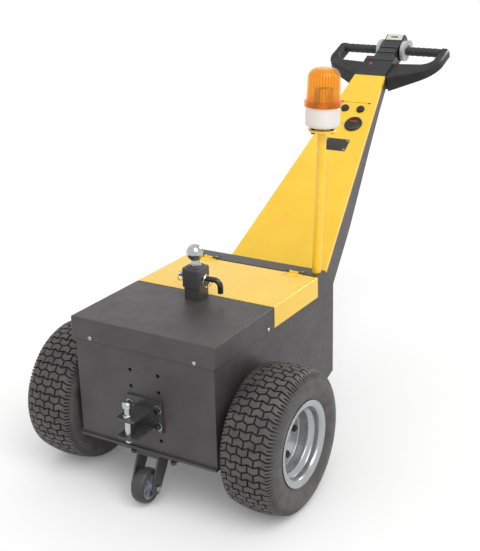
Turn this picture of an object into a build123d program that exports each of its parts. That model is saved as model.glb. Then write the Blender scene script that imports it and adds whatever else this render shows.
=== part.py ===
from build123d import *
import os
from math import sin, cos, tan, radians, sqrt

# Walk-behind electric tow tractor. Millimetres, +Z up, floor at Z = 0.
# -Y is the hitch end, +Y the handle end, X runs across the machine.
# Everything along Y is placed by its reach from the drive axle.
AXLE_Y = -622.2
FRONT_REACH = 157.0
COVER_REACH = 138.0
STRIP_REACH = 407.0
SLOPE_REACH = 463.0
REAR_REACH = 515.0
NECK_REACH = 1242.4
HANDLE_REACH = 1250.0
FRONT_CASTOR_REACH = 176.0
SWIVEL_REACH = 430.0

# Body tub
BODY_HALF = 223.0
SHEET = 3.0
FLOOR_Z = 152.0
BODY_TOP = 508.0
FRONT_Y = AXLE_Y - FRONT_REACH
PLATE_T = 6.0
REAR_Y = AXLE_Y + REAR_REACH
STRIP_Y = AXLE_Y + STRIP_REACH
SLOPE_Y = AXLE_Y + SLOPE_REACH
SLOPE_Z = 451.0
REAR_LOW_Z = FLOOR_Z + 12.0
TOE_Y = REAR_Y - 36.0
LIP = 7.0

# Cover and lid, bent from thinner sheet and standing proud of the body sides
COVER_T = 2.0
FOLD_R = 4.0
SKIRT_GAP = 5.0
SKIRT_HALF = BODY_HALF + SKIRT_GAP + COVER_T
SKIRT_Z = BODY_TOP - 59.0
COVER_TOP = BODY_TOP + COVER_T
COVER_FRONT = FRONT_Y - 8.0
COVER_REAR = AXLE_Y + COVER_REACH
LID_FRONT = COVER_REAR + 5.0
LID_REAR = STRIP_Y - 7.0

# Lid hinges
LEAF_T = 1.6
LEAF_W = 23.0
KNUCKLE = 30.0
KNUCKLE_GAP = 1.0
HINGE_R = 3.5
HINGE_X = BODY_HALF - 73.0
HINGE_Y = (LID_REAR + STRIP_Y) / 2
HINGE_Z = COVER_TOP + 3.0

# Batteries, drive axle and motor inside the body
BATTERY = (173.0, 260.0, 220.0)
BATTERY_X = BATTERY[0] / 2 + 9.5
BATTERY_Y = (COVER_REAR + STRIP_Y) / 2 + 17.5
CASE = (130.0, 120.0, 130.0)
TUBE_R = 36.0
TUBE_OUT = 13.0
MOTOR_R = 55.0
MOTOR_H = 140.0
SHAFT_R = 17.5
RUN_GAP = 0.05

# Drive wheels: tyre 16 x 6.50-8 on an 8 inch rim with four bolts
TRACK_HALF = BODY_HALF + 100.0
TYRE_R = 203.0
AXLE_Z = TYRE_R
TREAD_HALF = 68.0
SHOULDER_R = TYRE_R - 9.0
BULGE_HALF = 82.0
BULGE_R = TYRE_R - 45.0
TREAD_T = 10.0
SIDEWALL_T = 8.0
BEAD_R = 101.6
BEAD_W = 14.0
RIM_HALF = 70.0
RIM_WALL = 4.0
RIM_LIP = 5.0
RIM_ROUND = 6.0
FLANGE_R = BEAD_R + 18.4
WELL_R = BEAD_R - 13.6
WELL_HALF = 25.0
WELL_X = 15.0
WELL_CONE = 9.0
DISC_X = 6.0
DISC_T = 5.0
DISC_BORE_R = 30.0
WHEEL_BOLTS = 4
BOLT_CIRCLE_R = 50.8
BOLT_TURN = 10.0
STUD_R = 6.0
NUT_R = 9.8
NUT_H = 10.0
HUB_R = 62.0
HUB_T = 10.0
BOSS_L = 60.0
BOSS_OUT = 3.0

# Bolt grid of the front plate
GRID_X = 45.0
GRID_TOP = 387.0
GRID_PITCH = 48.0
GRID_ROWS = 5
GRID_R = 5.5

# Hitch bracket in the third and fourth rows of the grid, and its tow pin
BRACKET_ROWS = (2, 3)
BRACKET_HALF = GRID_X + 12.0
BRACKET_LOW = GRID_TOP - 165.0
BRACKET_HIGH = GRID_TOP - 71.0
BRACKET_T = 8.0
TONGUE_HALF = 28.0
TONGUE_R = 10.0
TONGUE_Y = FRONT_Y - 96.0
TONGUE_T = 8.0
TONGUE_TOPS = (BRACKET_HIGH - 23.0, BRACKET_LOW + 18.0)
WASHER_R = 13.0
WASHER_T = 2.5
BOLT_HEAD_R = 10.0
BOLT_HEAD_H = 7.0
BOLT_TAIL = 12.0
PIN_Y = TONGUE_Y + 17.0
PIN_R = 9.0
PIN_HOLE_R = PIN_R + 0.5
PIN_LOW = TONGUE_TOPS[1] - 22.0
PIN_POINT = 3.0
PIN_COLLAR_H = 8.0
PIN_STEM = 21.0
PIN_HEAD_R = 13.0
PIN_HEAD_SIDE = 13.0
PIN_DOME = 4.0
PIN_HEAD_Z = TONGUE_TOPS[0] + PIN_COLLAR_H + PIN_STEM

# Ball mount
POST_Y = COVER_REAR - 30.0
POST_HALF = 25.0
POST_WALL = 5.0
POST_GAP = 0.2
BEAM_Z = 440.0
BEAM_HALF = POST_HALF + 5.0
BEAM_H = 40.0
BEAM_T = 4.0
POST_ROUND = 4.0
COLLAR_HALF = POST_HALF + 4.0
COLLAR_ROUND = 7.0
COLLAR_LOW = COVER_TOP + 36.0
COLLAR_HIGH = COLLAR_LOW + 51.0
STEP_RISE = 5.0
STEP_TAPER = 25.0
STEP_HALF = COLLAR_HALF - 8.0
STEP_HIGH = COLLAR_HIGH + 2 * STEP_RISE
BALL_R = 23.8
BALL_Z = STEP_HIGH + 35.0
BALL_NECK_R = 12.5
BALL_FOOT_R = 15.5
BALL_FOOT_H = 4.0
LOCK_Z = (COLLAR_LOW + COLLAR_HIGH) / 2
LOCK_R = 8.0
LOCK_BEND = 18.0
LOCK_TAIL = COLLAR_HALF + 18.0
LOCK_X = COLLAR_HALF + 51.0
LOCK_LEG = 18.0

# Neck: a plane rising to the rear, s along it from the top edge, n out of it
NECK_SLOPE = 35.63
NECK_TOP_Y = AXLE_Y + NECK_REACH
NECK_TOP_Z = 948.6
NECK_TOP_HALF = 55.9
NECK_FLARE = 0.13648
NECK_DEEP = 90.0
NECK_LONG = (NECK_REACH - REAR_REACH) / cos(radians(NECK_SLOPE)) + NECK_DEEP * tan(radians(NECK_SLOPE))
NECK_DEPTHS = (
    (0.0, 47.0), (122.0, 51.0), (286.0, 62.0), (447.0, 77.0), (605.0, NECK_DEEP), (NECK_LONG, NECK_DEEP),
)
NECK_WALL = 3.0
PANEL_T = 2.0
PANEL_LIP = 12.0
PANEL_FOLD = 3.0
GAUGE_AT = (28.0, -232.0)
GAUGE_R = 31.0
GAUGE_H = 6.0
KEY_AT = (-45.0, -232.0)
KEY_R = 11.0
KEY_H = 5.0
CAP_X = 29.0
CAP_S = -164.5
CAP_R = 14.0
CAP_H = 9.0
BLANK = (88.0, 51.0, 2.0)
BLANK_S = -327.5

# Handle: a flatter plane, q along it to the rear, h out of it
HANDLE_SLOPE = 21.0
HANDLE_Y = AXLE_Y + HANDLE_REACH
HANDLE_Z = 930.0
HANDLE_HALF = 213.0
HANDLE_TOP = 15.0
HANDLE_EDGE = 5.0
ROOT_HALF = 56.0
ROOT_GAP = 4.0
ROOT_FRONT = -40.0
ROOT_REAR = 119.0
ROOT_LOW = -44.0
TIP_LOW = -13.0
ARM_REAR = 97.0
ARM_BEND = (55.0, 54.0)
ARM_KNEE = (15.0, 92.0)
ARM_STRAIGHT = 140.0
END_POST_T = 32.0
END_POST_Q = 222.0
END_POST_CUT = 10.0
WINDOW_FOOT = (69.0, 104.0)
WINDOW_KNEE = (43.0, 118.0)
WINDOW_STRAIGHT = 150.0
GRIP_Q = 205.0
GRIP_H = 2.0
GRIP_R = 16.0
GRIP_GAP = 4.0
BAR_R = 11.0
BAR_SUNK = 7.0

# Control head between the grips
COWL_HALF = ROOT_HALF - 1.0
COWL_FRONT = (1.0, 19.0)
COWL_TOP = (106.0, 33.0)
COWL_BACK = (ROOT_REAR, 24.0)
COWL_RISE = (COWL_TOP[1] - COWL_FRONT[1]) / (COWL_TOP[0] - COWL_FRONT[0])
COWL_RIBS = (89.0,)
HEAD_HALF = 35.0
HEAD_Q = 260.0
HEAD_LOW = -26.0
HEAD_BACK_H = 28.0
HEAD_START = (112.0, 24.0)
HEAD_KNEE = (216.0, 33.0)
HEAD_TOP = (250.0, 42.0)
HEAD_RISE = (HEAD_KNEE[1] - HEAD_START[1]) / (HEAD_KNEE[0] - HEAD_START[0])
PLATE_RISE = (HEAD_TOP[1] - HEAD_KNEE[1]) / (HEAD_TOP[0] - HEAD_KNEE[0])
HEAD_EDGE = 3.0
HEAD_RIBS = (148.0, 178.0)
HEAD_RIB = (6.0, 2.0)
HEAD_PLATE_Q = (221.0, 248.0)
HEAD_PLATE_HALF = HEAD_HALF - 5.0
HEAD_PLATE_T = 3.0
BUTTON_HALF = HEAD_HALF
BUTTON_BULGE = 8.0
THROTTLE_R = 36.0
THROTTLE_T = 12.0
THROTTLE_GAP = 5.0
WING_TURN = 15.0
WING_W = 22.0
WING_R = THROTTLE_R + 8.0
WING_T = 20.0

# Beacon: the post stands a little off upright
BEACON_FOOT = (BODY_HALF - 18.5, STRIP_Y + 34.0, COVER_TOP)
BEACON_LEAN = (0.034, 0.015, 1.0)
BEACON_POST_R = 13.4
BEACON_POST_WALL = 2.0
BEACON_POST_H = 424.0
BEACON_FLANGE_R = 40.0
BEACON_FLANGE_T = 6.0
BEACON_FEET = 3
BEACON_FOOT_SIZE = (6.0, 6.5)
BEACON_FOOT_CIRCLE_R = 30.0
BEACON_BASE_R = 49.0
BEACON_BASE_H = 58.5
BEACON_BASE_WALL = 9.0
BEACON_BASE_FLOOR = 4.0
BEACON_BASE_ROUND = 11.0
LENS_RIM_R = BEACON_BASE_R + 4.0
LENS_RIM_H = 17.0
LENS_FOOT_R = BEACON_BASE_R - 0.5
LENS_SHOULDER_R = LENS_FOOT_R - 2.0
LENS_H = 106.5
LENS_ROUND = 28.0
LENS_CROWN_R = LENS_SHOULDER_R - LENS_ROUND
LENS_WALL = 3.0
SOCKET_R = 14.0
BULB_R = 9.0
BULB_H = 45.0
RING_R = 34.0
RING_T = 10.0
RING_DROP = 20.0
MIRROR_R = 30.0
MIRROR_T = 3.0
MIRROR_H = 58.0

# Castors: the front one is rigid on a raked fork and hangs just clear of the floor, the rear one swivels
CASTOR_R = 50.0
CASTOR_HALF = 19.0
CASTOR_CROWN = 5.0
CASTOR_HUB_R = 37.0
CASTOR_HUB_HALF = CASTOR_HALF - 3.0
CASTOR_RIM_T = 6.0
CASTOR_WEB = 8.0
CASTOR_RIBS = 6
CASTOR_RIB_T = 4.0
CASTOR_BOSS_R = 11.0
CASTOR_BORE_R = 6.0
CASTOR_NUT = (9.0, 7.0)
FRONT_CASTOR_Y = AXLE_Y - FRONT_CASTOR_REACH
FRONT_CASTOR_Z = CASTOR_R + 7.0
FRONT_PLATE = (200.0, 112.0, 6.0)
FRONT_PLATE_Y = FRONT_CASTOR_Y + 72.0
FRONT_FORK_IN = 31.0
FRONT_FORK_T = 6.0
FRONT_CROWN_T = 8.0
FRONT_LEG_TOP = (18.0, 78.0)
FRONT_LEG_R = 20.0
SWIVEL_Y = AXLE_Y + SWIVEL_REACH
SWIVEL_TRAIL = 40.0
REAR_WHEEL_Y = SWIVEL_Y + SWIVEL_TRAIL
REAR_PLATE = (100.0, 85.0, 6.0)
RACE_R = 34.0
RACE_T = 10.0
KINGPIN_R = 8.0
KINGPIN_L = 14.0
REAR_CROWN_R = 36.0
REAR_CROWN_T = 6.0
REAR_CROWN_Z = FLOOR_Z - REAR_PLATE[2] - RACE_T - 1.0
REAR_FORK_IN = 24.0
REAR_FORK_T = 5.0
REAR_LEG_END = 16.0

NECK_UP = (0, -sin(radians(NECK_SLOPE)), cos(radians(NECK_SLOPE)))
NECK_ALONG = (0, cos(radians(NECK_SLOPE)), sin(radians(NECK_SLOPE)))
NECK = Plane(origin=(0, NECK_TOP_Y, NECK_TOP_Z), x_dir=(1, 0, 0), z_dir=NECK_UP)
NECK_SIDE = Plane(origin=NECK.origin, x_dir=NECK_ALONG, z_dir=(1, 0, 0))
NECK_CUT = Plane(origin=NECK.origin, x_dir=(1, 0, 0), z_dir=NECK_ALONG)
HANDLE_UP = (0, -sin(radians(HANDLE_SLOPE)), cos(radians(HANDLE_SLOPE)))
HANDLE_ALONG = (0, cos(radians(HANDLE_SLOPE)), sin(radians(HANDLE_SLOPE)))
HANDLE = Plane(origin=(0, HANDLE_Y, HANDLE_Z), x_dir=(1, 0, 0), z_dir=HANDLE_UP)
HANDLE_SIDE = Plane(origin=HANDLE.origin, x_dir=HANDLE_ALONG, z_dir=(1, 0, 0))
HANDLE_END = Plane(origin=HANDLE.origin, x_dir=(-1, 0, 0), z_dir=HANDLE_ALONG)
BEACON = Plane(origin=BEACON_FOOT, x_dir=(1, 0, -BEACON_LEAN[0]), z_dir=BEACON_LEAN)
CUP = BEACON.offset(BEACON_POST_H + BEACON_FLANGE_T + BEACON_FOOT_SIZE[1])
LENS = CUP.offset(BEACON_BASE_H)
WHEEL_AXIS = Axis((0, AXLE_Y, AXLE_Z), (1, 0, 0))
WHEEL_PLANE = Plane(origin=(TRACK_HALF, AXLE_Y, AXLE_Z), x_dir=(1, 0, 0), z_dir=(0, -1, 0))

os.makedirs("parts", exist_ok=True)

# Body shell: bent sheet tub, open on top and in front, with the rear strip and slope
with BuildPart() as body_shell:
    with BuildSketch(Plane.YZ) as outer:
        with BuildLine():
            Polyline(
                (FRONT_Y + PLATE_T, FLOOR_Z), (FRONT_Y + PLATE_T, BODY_TOP), (STRIP_Y, BODY_TOP),
                (STRIP_Y, COVER_TOP), (SLOPE_Y, COVER_TOP), (REAR_Y, SLOPE_Z), (REAR_Y, REAR_LOW_Z),
                (TOE_Y, FLOOR_Z), close=True,
            )
        make_face()
    extrude(amount=BODY_HALF, both=True)
    with BuildSketch(Plane.YZ) as inner:
        with BuildLine():
            Polyline(
                (FRONT_Y, FLOOR_Z + SHEET), (FRONT_Y, COVER_TOP + SHEET), (STRIP_Y, COVER_TOP + SHEET),
                (STRIP_Y, COVER_TOP - SHEET), (SLOPE_Y - SHEET / 2, COVER_TOP - SHEET),
                (REAR_Y - SHEET, SLOPE_Z - SHEET / 2), (REAR_Y - SHEET, REAR_LOW_Z + SHEET / 2),
                (TOE_Y - SHEET / 2, FLOOR_Z + SHEET), close=True,
            )
        make_face()
    extrude(amount=BODY_HALF - SHEET, both=True, mode=Mode.SUBTRACT)
    with BuildSketch(Plane.YZ) as axle_hole:
        with Locations((AXLE_Y, AXLE_Z)):
            Circle(TUBE_R + 0.5)
    extrude(amount=BODY_HALF + SHEET, both=True, mode=Mode.SUBTRACT)
body_shell.part.label = "body_shell"
export_step(body_shell.part, "parts/body_shell.step")

# Front plate with two columns of bolt holes and a lip along the bottom
with BuildPart() as front_plate:
    with BuildSketch(Plane.XZ.offset(-FRONT_Y)) as plate:
        with Locations((0, (FLOOR_Z + BODY_TOP) / 2)):
            Rectangle(2 * BODY_HALF, BODY_TOP - FLOOR_Z)
        for row in range(GRID_ROWS):
            with Locations((-GRID_X, GRID_TOP - row * GRID_PITCH), (GRID_X, GRID_TOP - row * GRID_PITCH)):
                Circle(GRID_R, mode=Mode.SUBTRACT)
    extrude(amount=-PLATE_T)
    with BuildSketch(Plane.XZ.offset(-FRONT_Y)) as lip:
        with Locations((0, FLOOR_Z + LIP / 2)):
            Rectangle(2 * BODY_HALF, LIP)
    extrude(amount=LIP)
front_plate.part.label = "front_plate"
export_step(front_plate.part, "parts/front_plate.step")

# Front cover: folded sheet with a front skirt and side skirts, square hole for the ball post
with BuildPart() as front_cover:
    with BuildSketch(Plane.XY.offset(SKIRT_Z)) as cover_plan:
        with Locations((0, (COVER_FRONT + COVER_REAR) / 2)):
            Rectangle(2 * SKIRT_HALF, COVER_REAR - COVER_FRONT)
    extrude(amount=COVER_TOP - SKIRT_Z)
    top_edges = front_cover.edges().group_by(Axis.Z)[-1].group_by(Axis.Y)
    fillet(top_edges[0] + top_edges[1] + front_cover.edges().filter_by(Axis.Z).group_by(Axis.Y)[0], FOLD_R)
    with BuildSketch(Plane.XY.offset(SKIRT_Z)) as cover_inside:
        with BuildLine():
            Polyline(
                (COVER_T - SKIRT_HALF, COVER_FRONT + COVER_T), (SKIRT_HALF - COVER_T, COVER_FRONT + COVER_T),
                (SKIRT_HALF - COVER_T, COVER_REAR), (COVER_T - SKIRT_HALF, COVER_REAR), close=True,
            )
        make_face()
    extrude(amount=BODY_TOP - SKIRT_Z, mode=Mode.SUBTRACT)
    with BuildSketch(Plane.XY.offset(BODY_TOP)) as post_hole:
        with Locations((0, POST_Y)):
            Rectangle(2 * (POST_HALF + POST_GAP), 2 * (POST_HALF + POST_GAP))
    extrude(amount=COVER_T, mode=Mode.SUBTRACT)
front_cover.part.label = "front_cover"
export_step(front_cover.part, "parts/front_cover.step")

# Battery lid: folded sheet with side skirts, hinge leaves at the rear edge
with BuildPart() as battery_lid:
    with BuildSketch(Plane.XZ.offset(-LID_FRONT)) as lid_section:
        with BuildLine():
            Polyline(
                (-SKIRT_HALF, SKIRT_Z), (-SKIRT_HALF, COVER_TOP), (SKIRT_HALF, COVER_TOP),
                (SKIRT_HALF, SKIRT_Z),
                (SKIRT_HALF - COVER_T, SKIRT_Z), (SKIRT_HALF - COVER_T, BODY_TOP),
                (COVER_T - SKIRT_HALF, BODY_TOP), (COVER_T - SKIRT_HALF, SKIRT_Z), close=True,
            )
        make_face()
        fillet(lid_section.vertices().group_by(Axis.Y)[-1], FOLD_R)
    extrude(amount=LID_FRONT - LID_REAR)
    with BuildSketch(Plane.XY.offset(COVER_TOP)) as leaves:
        with Locations((-HINGE_X, LID_REAR - LEAF_W / 2), (HINGE_X, LID_REAR - LEAF_W / 2)):
            Rectangle(2 * KNUCKLE, LEAF_W)
        with Locations((-HINGE_X, LID_REAR), (HINGE_X, LID_REAR)):
            Rectangle(KNUCKLE, HINGE_Y - LID_REAR + LEAF_T)
    extrude(amount=LEAF_T)
    for side in (-HINGE_X, HINGE_X):
        with BuildSketch(Plane.YZ.offset(side)) as lid_knuckle:
            with Locations((HINGE_Y, HINGE_Z)):
                Circle(HINGE_R)
        extrude(amount=KNUCKLE / 2, both=True)
battery_lid.part.label = "battery_lid"
export_step(battery_lid.part, "parts/battery_lid.step")

# Fixed hinge leaves on the rear strip, one knuckle each side of the lid's knuckle
with BuildPart() as lid_hinges:
    with BuildSketch(Plane.XY.offset(COVER_TOP)) as fixed_leaves:
        with Locations((-HINGE_X, STRIP_Y + LEAF_W / 2), (HINGE_X, STRIP_Y + LEAF_W / 2)):
            Rectangle(2 * KNUCKLE, LEAF_W)
    extrude(amount=LEAF_T)
    for side in (-HINGE_X, HINGE_X):
        with BuildSketch(Plane.YZ.offset(side)) as knuckles:
            with Locations((HINGE_Y, HINGE_Z)):
                Circle(HINGE_R)
        extrude(amount=KNUCKLE, both=True)
        with BuildSketch(Plane.XY.offset(COVER_TOP)) as fixed_webs:
            with Locations((side, (HINGE_Y + STRIP_Y) / 2)):
                Rectangle(2 * KNUCKLE, STRIP_Y - HINGE_Y)
        extrude(amount=LEAF_T)
        with BuildSketch(Plane.YZ.offset(side)) as knuckle_gap:
            with Locations((HINGE_Y, HINGE_Z)):
                Rectangle(2 * (STRIP_Y - HINGE_Y), 4 * HINGE_R)
        extrude(amount=KNUCKLE / 2 + KNUCKLE_GAP, both=True, mode=Mode.SUBTRACT)
lid_hinges.part.label = "lid_hinges"
export_step(lid_hinges.part, "parts/lid_hinges.step")

# Batteries: two plain blocks standing on the floor
with BuildPart() as batteries:
    with BuildSketch(Plane.XY.offset(FLOOR_Z + SHEET)) as cells:
        with Locations((-BATTERY_X, BATTERY_Y), (BATTERY_X, BATTERY_Y)):
            Rectangle(BATTERY[0], BATTERY[1])
    extrude(amount=BATTERY[2])
batteries.part.label = "batteries"
export_step(batteries.part, "parts/batteries.step")

# Drive axle: gear case, housing tubes through the body sides, stub shafts for the wheels
with BuildPart() as drive_axle:
    with BuildSketch(Plane.YZ) as tube:
        with Locations((AXLE_Y, AXLE_Z)):
            Circle(TUBE_R)
    extrude(amount=BODY_HALF + TUBE_OUT, both=True)
    with BuildSketch(Plane.YZ) as shaft:
        with Locations((AXLE_Y, AXLE_Z)):
            Circle(SHAFT_R)
    extrude(amount=TRACK_HALF + DISC_X + DISC_T, both=True)
    with BuildSketch(Plane.XY.offset(FLOOR_Z + SHEET)) as case:
        with Locations((0, AXLE_Y)):
            Rectangle(CASE[0], CASE[1])
    extrude(amount=CASE[2])
drive_axle.part.label = "drive_axle"
export_step(drive_axle.part, "parts/drive_axle.step")

# Drive motor: plain cylinder standing on the gear case
with BuildPart() as drive_motor:
    with BuildSketch(Plane.XY.offset(FLOOR_Z + SHEET + CASE[2])) as motor:
        with Locations((0, AXLE_Y)):
            Circle(MOTOR_R)
    extrude(amount=MOTOR_H)
drive_motor.part.label = "drive_motor"
export_step(drive_motor.part, "parts/drive_motor.step")

# Channel across the body that carries the ball post
with BuildPart() as post_beam:
    with BuildSketch(Plane.YZ) as channel:
        with Locations((POST_Y, BEAM_Z - BEAM_H / 2)):
            Rectangle(2 * BEAM_HALF, BEAM_H)
        with Locations((POST_Y, BEAM_Z - BEAM_T - BEAM_H / 2)):
            Rectangle(2 * (BEAM_HALF - BEAM_T), BEAM_H, mode=Mode.SUBTRACT)
    extrude(amount=BODY_HALF - SHEET, both=True)
post_beam.part.label = "post_beam"
export_step(post_beam.part, "parts/post_beam.step")

# Room inside the neck, taken out of the shell below
ROOM_HALF = NECK_TOP_HALF - PANEL_T - NECK_WALL
with BuildPart() as neck_room:
    with BuildSketch(NECK) as room_plan:
        with BuildLine():
            Polyline(
                (-ROOM_HALF, -NECK_WALL), (ROOM_HALF, -NECK_WALL),
                (ROOM_HALF + NECK_FLARE * NECK_LONG, -NECK_LONG),
                (-ROOM_HALF - NECK_FLARE * NECK_LONG, -NECK_LONG), close=True,
            )
        make_face()
    extrude(amount=-NECK_LONG)
    with BuildSketch(NECK_SIDE) as room_profile:
        with BuildLine():
            Polyline(
                (0, -PANEL_T - NECK_WALL), *[(-s, NECK_WALL - depth) for s, depth in NECK_DEPTHS],
                (-NECK_LONG, -PANEL_T - NECK_WALL), close=True,
            )
        make_face()
    extrude(amount=NECK_LONG, both=True, mode=Mode.INTERSECT)

# Neck shell: tapered box section, its lower end against the body's rear wall
SHELL_HALF = NECK_TOP_HALF - PANEL_T
with BuildPart() as neck_shell:
    with BuildSketch(NECK) as shell_plan:
        with BuildLine():
            Polyline(
                (-SHELL_HALF, 0), (SHELL_HALF, 0), (SHELL_HALF + NECK_FLARE * NECK_LONG, -NECK_LONG),
                (-SHELL_HALF - NECK_FLARE * NECK_LONG, -NECK_LONG), close=True,
            )
        make_face()
    extrude(amount=-NECK_LONG)
    with BuildSketch(NECK_SIDE) as shell_profile:
        with BuildLine():
            bottom_line = [(-s, -depth) for s, depth in NECK_DEPTHS]
            Polyline((0, -PANEL_T), *bottom_line, (-NECK_LONG, -PANEL_T), close=True)
        make_face()
    extrude(amount=NECK_LONG, both=True, mode=Mode.INTERSECT)
    add(neck_room.part, mode=Mode.SUBTRACT)
    split(bisect_by=Plane.XZ.offset(-REAR_Y), keep=Keep.BOTTOM)
neck_shell.part.label = "neck_shell"
export_step(neck_shell.part, "parts/neck_shell.step")

# Neck panel: folded sheet over the shell with a short lip down each side
with BuildPart() as neck_panel:
    with BuildSketch(NECK) as panel_plan:
        with BuildLine():
            Polyline(
                (-NECK_TOP_HALF, 0), (NECK_TOP_HALF, 0), (NECK_TOP_HALF + NECK_FLARE * NECK_LONG, -NECK_LONG),
                (-NECK_TOP_HALF - NECK_FLARE * NECK_LONG, -NECK_LONG), close=True,
            )
        make_face()
    extrude(amount=-PANEL_LIP)
    long_edges = neck_panel.faces().sort_by(Axis.Z)[-1].edges().sort_by(SortBy.LENGTH)[-2:]
    fillet(long_edges, PANEL_FOLD)
    with BuildSketch(NECK.offset(-PANEL_T)) as panel_inside:
        with BuildLine():
            Polyline(
                (-SHELL_HALF, 0), (SHELL_HALF, 0), (SHELL_HALF + NECK_FLARE * NECK_LONG, -NECK_LONG),
                (-SHELL_HALF - NECK_FLARE * NECK_LONG, -NECK_LONG), close=True,
            )
        make_face()
    extrude(amount=-PANEL_LIP, mode=Mode.SUBTRACT)
    split(bisect_by=Plane.XZ.offset(-REAR_Y), keep=Keep.BOTTOM)
neck_panel.part.label = "neck_panel"
export_step(neck_panel.part, "parts/neck_panel.step")

# Battery gauge: round bezel on the panel
with BuildPart() as gauge:
    with BuildSketch(NECK) as gauge_disc:
        with Locations(GAUGE_AT):
            Circle(GAUGE_R)
    extrude(amount=GAUGE_H)
    chamfer(gauge.edges().sort_by(Axis.Z)[-1], GAUGE_H / 3)
gauge.part.label = "gauge"
export_step(gauge.part, "parts/gauge.step")

# Key switch beside the gauge
with BuildPart() as key_switch:
    with BuildSketch(NECK) as key_disc:
        with Locations(KEY_AT):
            Circle(KEY_R)
    extrude(amount=KEY_H)
key_switch.part.label = "key_switch"
export_step(key_switch.part, "parts/key_switch.step")

# Two round caps above the gauge
with BuildPart() as panel_caps:
    with BuildSketch(NECK) as cap_discs:
        with Locations((-CAP_X, CAP_S), (CAP_X, CAP_S)):
            Circle(CAP_R)
    extrude(amount=CAP_H)
panel_caps.part.label = "panel_caps"
export_step(panel_caps.part, "parts/panel_caps.step")

# Blank cover plate below the gauge
with BuildPart() as panel_plate:
    with BuildSketch(NECK) as blank:
        with Locations((0, BLANK_S)):
            Rectangle(BLANK[0], BLANK[1])
    extrude(amount=BLANK[2])
panel_plate.part.label = "panel_plate"
export_step(panel_plate.part, "parts/panel_plate.step")

# Handle frame: moulded arms, end posts and the bars that carry the grips
END_POST_IN = HANDLE_HALF - END_POST_T
with BuildPart() as handle_frame:
    with BuildSketch(HANDLE.offset(ROOT_LOW)) as arms:
        with BuildLine():
            bend = (HANDLE_HALF - ARM_BEND[0], ARM_BEND[1])
            foot = (HANDLE_HALF - WINDOW_FOOT[0], WINDOW_FOOT[1])
            Polyline((0, ROOT_FRONT), (ROOT_HALF, ROOT_FRONT), (ROOT_HALF, 0), bend)
            ThreePointArc(bend, (HANDLE_HALF - ARM_KNEE[0], ARM_KNEE[1]), (HANDLE_HALF, ARM_STRAIGHT))
            Polyline(
                (HANDLE_HALF, ARM_STRAIGHT), (HANDLE_HALF, END_POST_Q - END_POST_CUT),
                (HANDLE_HALF - END_POST_CUT, END_POST_Q), (END_POST_IN, END_POST_Q),
                (END_POST_IN, WINDOW_STRAIGHT),
            )
            knee = (HANDLE_HALF - WINDOW_KNEE[0], WINDOW_KNEE[1])
            ThreePointArc((END_POST_IN, WINDOW_STRAIGHT), knee, foot)
            Polyline(foot, (ROOT_HALF, ARM_REAR), (ROOT_HALF, ROOT_REAR), (0, ROOT_REAR), (0, ROOT_FRONT))
        make_face()
        mirror(about=Plane.YZ)
    extrude(amount=HANDLE_TOP - ROOT_LOW)
    chamfer(handle_frame.edges().group_by(Axis(HANDLE.origin, HANDLE.z_dir))[-1], HANDLE_EDGE)
    with BuildSketch(HANDLE_END) as thickness:
        with BuildLine():
            Polyline(
                (-HANDLE_HALF, HANDLE_TOP), (HANDLE_HALF, HANDLE_TOP), (HANDLE_HALF, TIP_LOW),
                (ROOT_HALF, ROOT_LOW),
                (-ROOT_HALF, ROOT_LOW), (-HANDLE_HALF, TIP_LOW), close=True,
            )
        make_face()
    extrude(amount=2 * END_POST_Q, both=True, mode=Mode.INTERSECT)
    with BuildSketch(NECK_CUT) as neck_end:
        Rectangle(2 * (ROOT_HALF + ROOT_GAP), 4 * ROOT_HALF)
    extrude(amount=-2 * ROOT_HALF, mode=Mode.SUBTRACT)
    with BuildSketch(HANDLE_SIDE.offset(HEAD_HALF)) as bar_right:
        with Locations((GRIP_Q, GRIP_H)):
            Circle(BAR_R)
    extrude(amount=END_POST_IN + BAR_SUNK - HEAD_HALF)
    with BuildSketch(HANDLE_SIDE.offset(-HEAD_HALF)) as bar_left:
        with Locations((GRIP_Q, GRIP_H)):
            Circle(BAR_R)
    extrude(amount=HEAD_HALF - END_POST_IN - BAR_SUNK)
handle_frame.part.label = "handle_frame"
export_step(handle_frame.part, "parts/handle_frame.step")

# Rubber grips: sleeves on the bars, one each side
GRIP_START = HEAD_HALF + THROTTLE_GAP + THROTTLE_T + GRIP_GAP
with BuildPart() as grips:
    with BuildSketch(HANDLE_SIDE.offset(GRIP_START)) as grip_ring:
        with Locations((GRIP_Q, GRIP_H)):
            Circle(GRIP_R)
            Circle(BAR_R, mode=Mode.SUBTRACT)
    extrude(amount=END_POST_IN - GRIP_START)
    mirror(about=Plane.YZ)
grips.part.label = "grips"
export_step(grips.part, "parts/grips.step")

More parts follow.
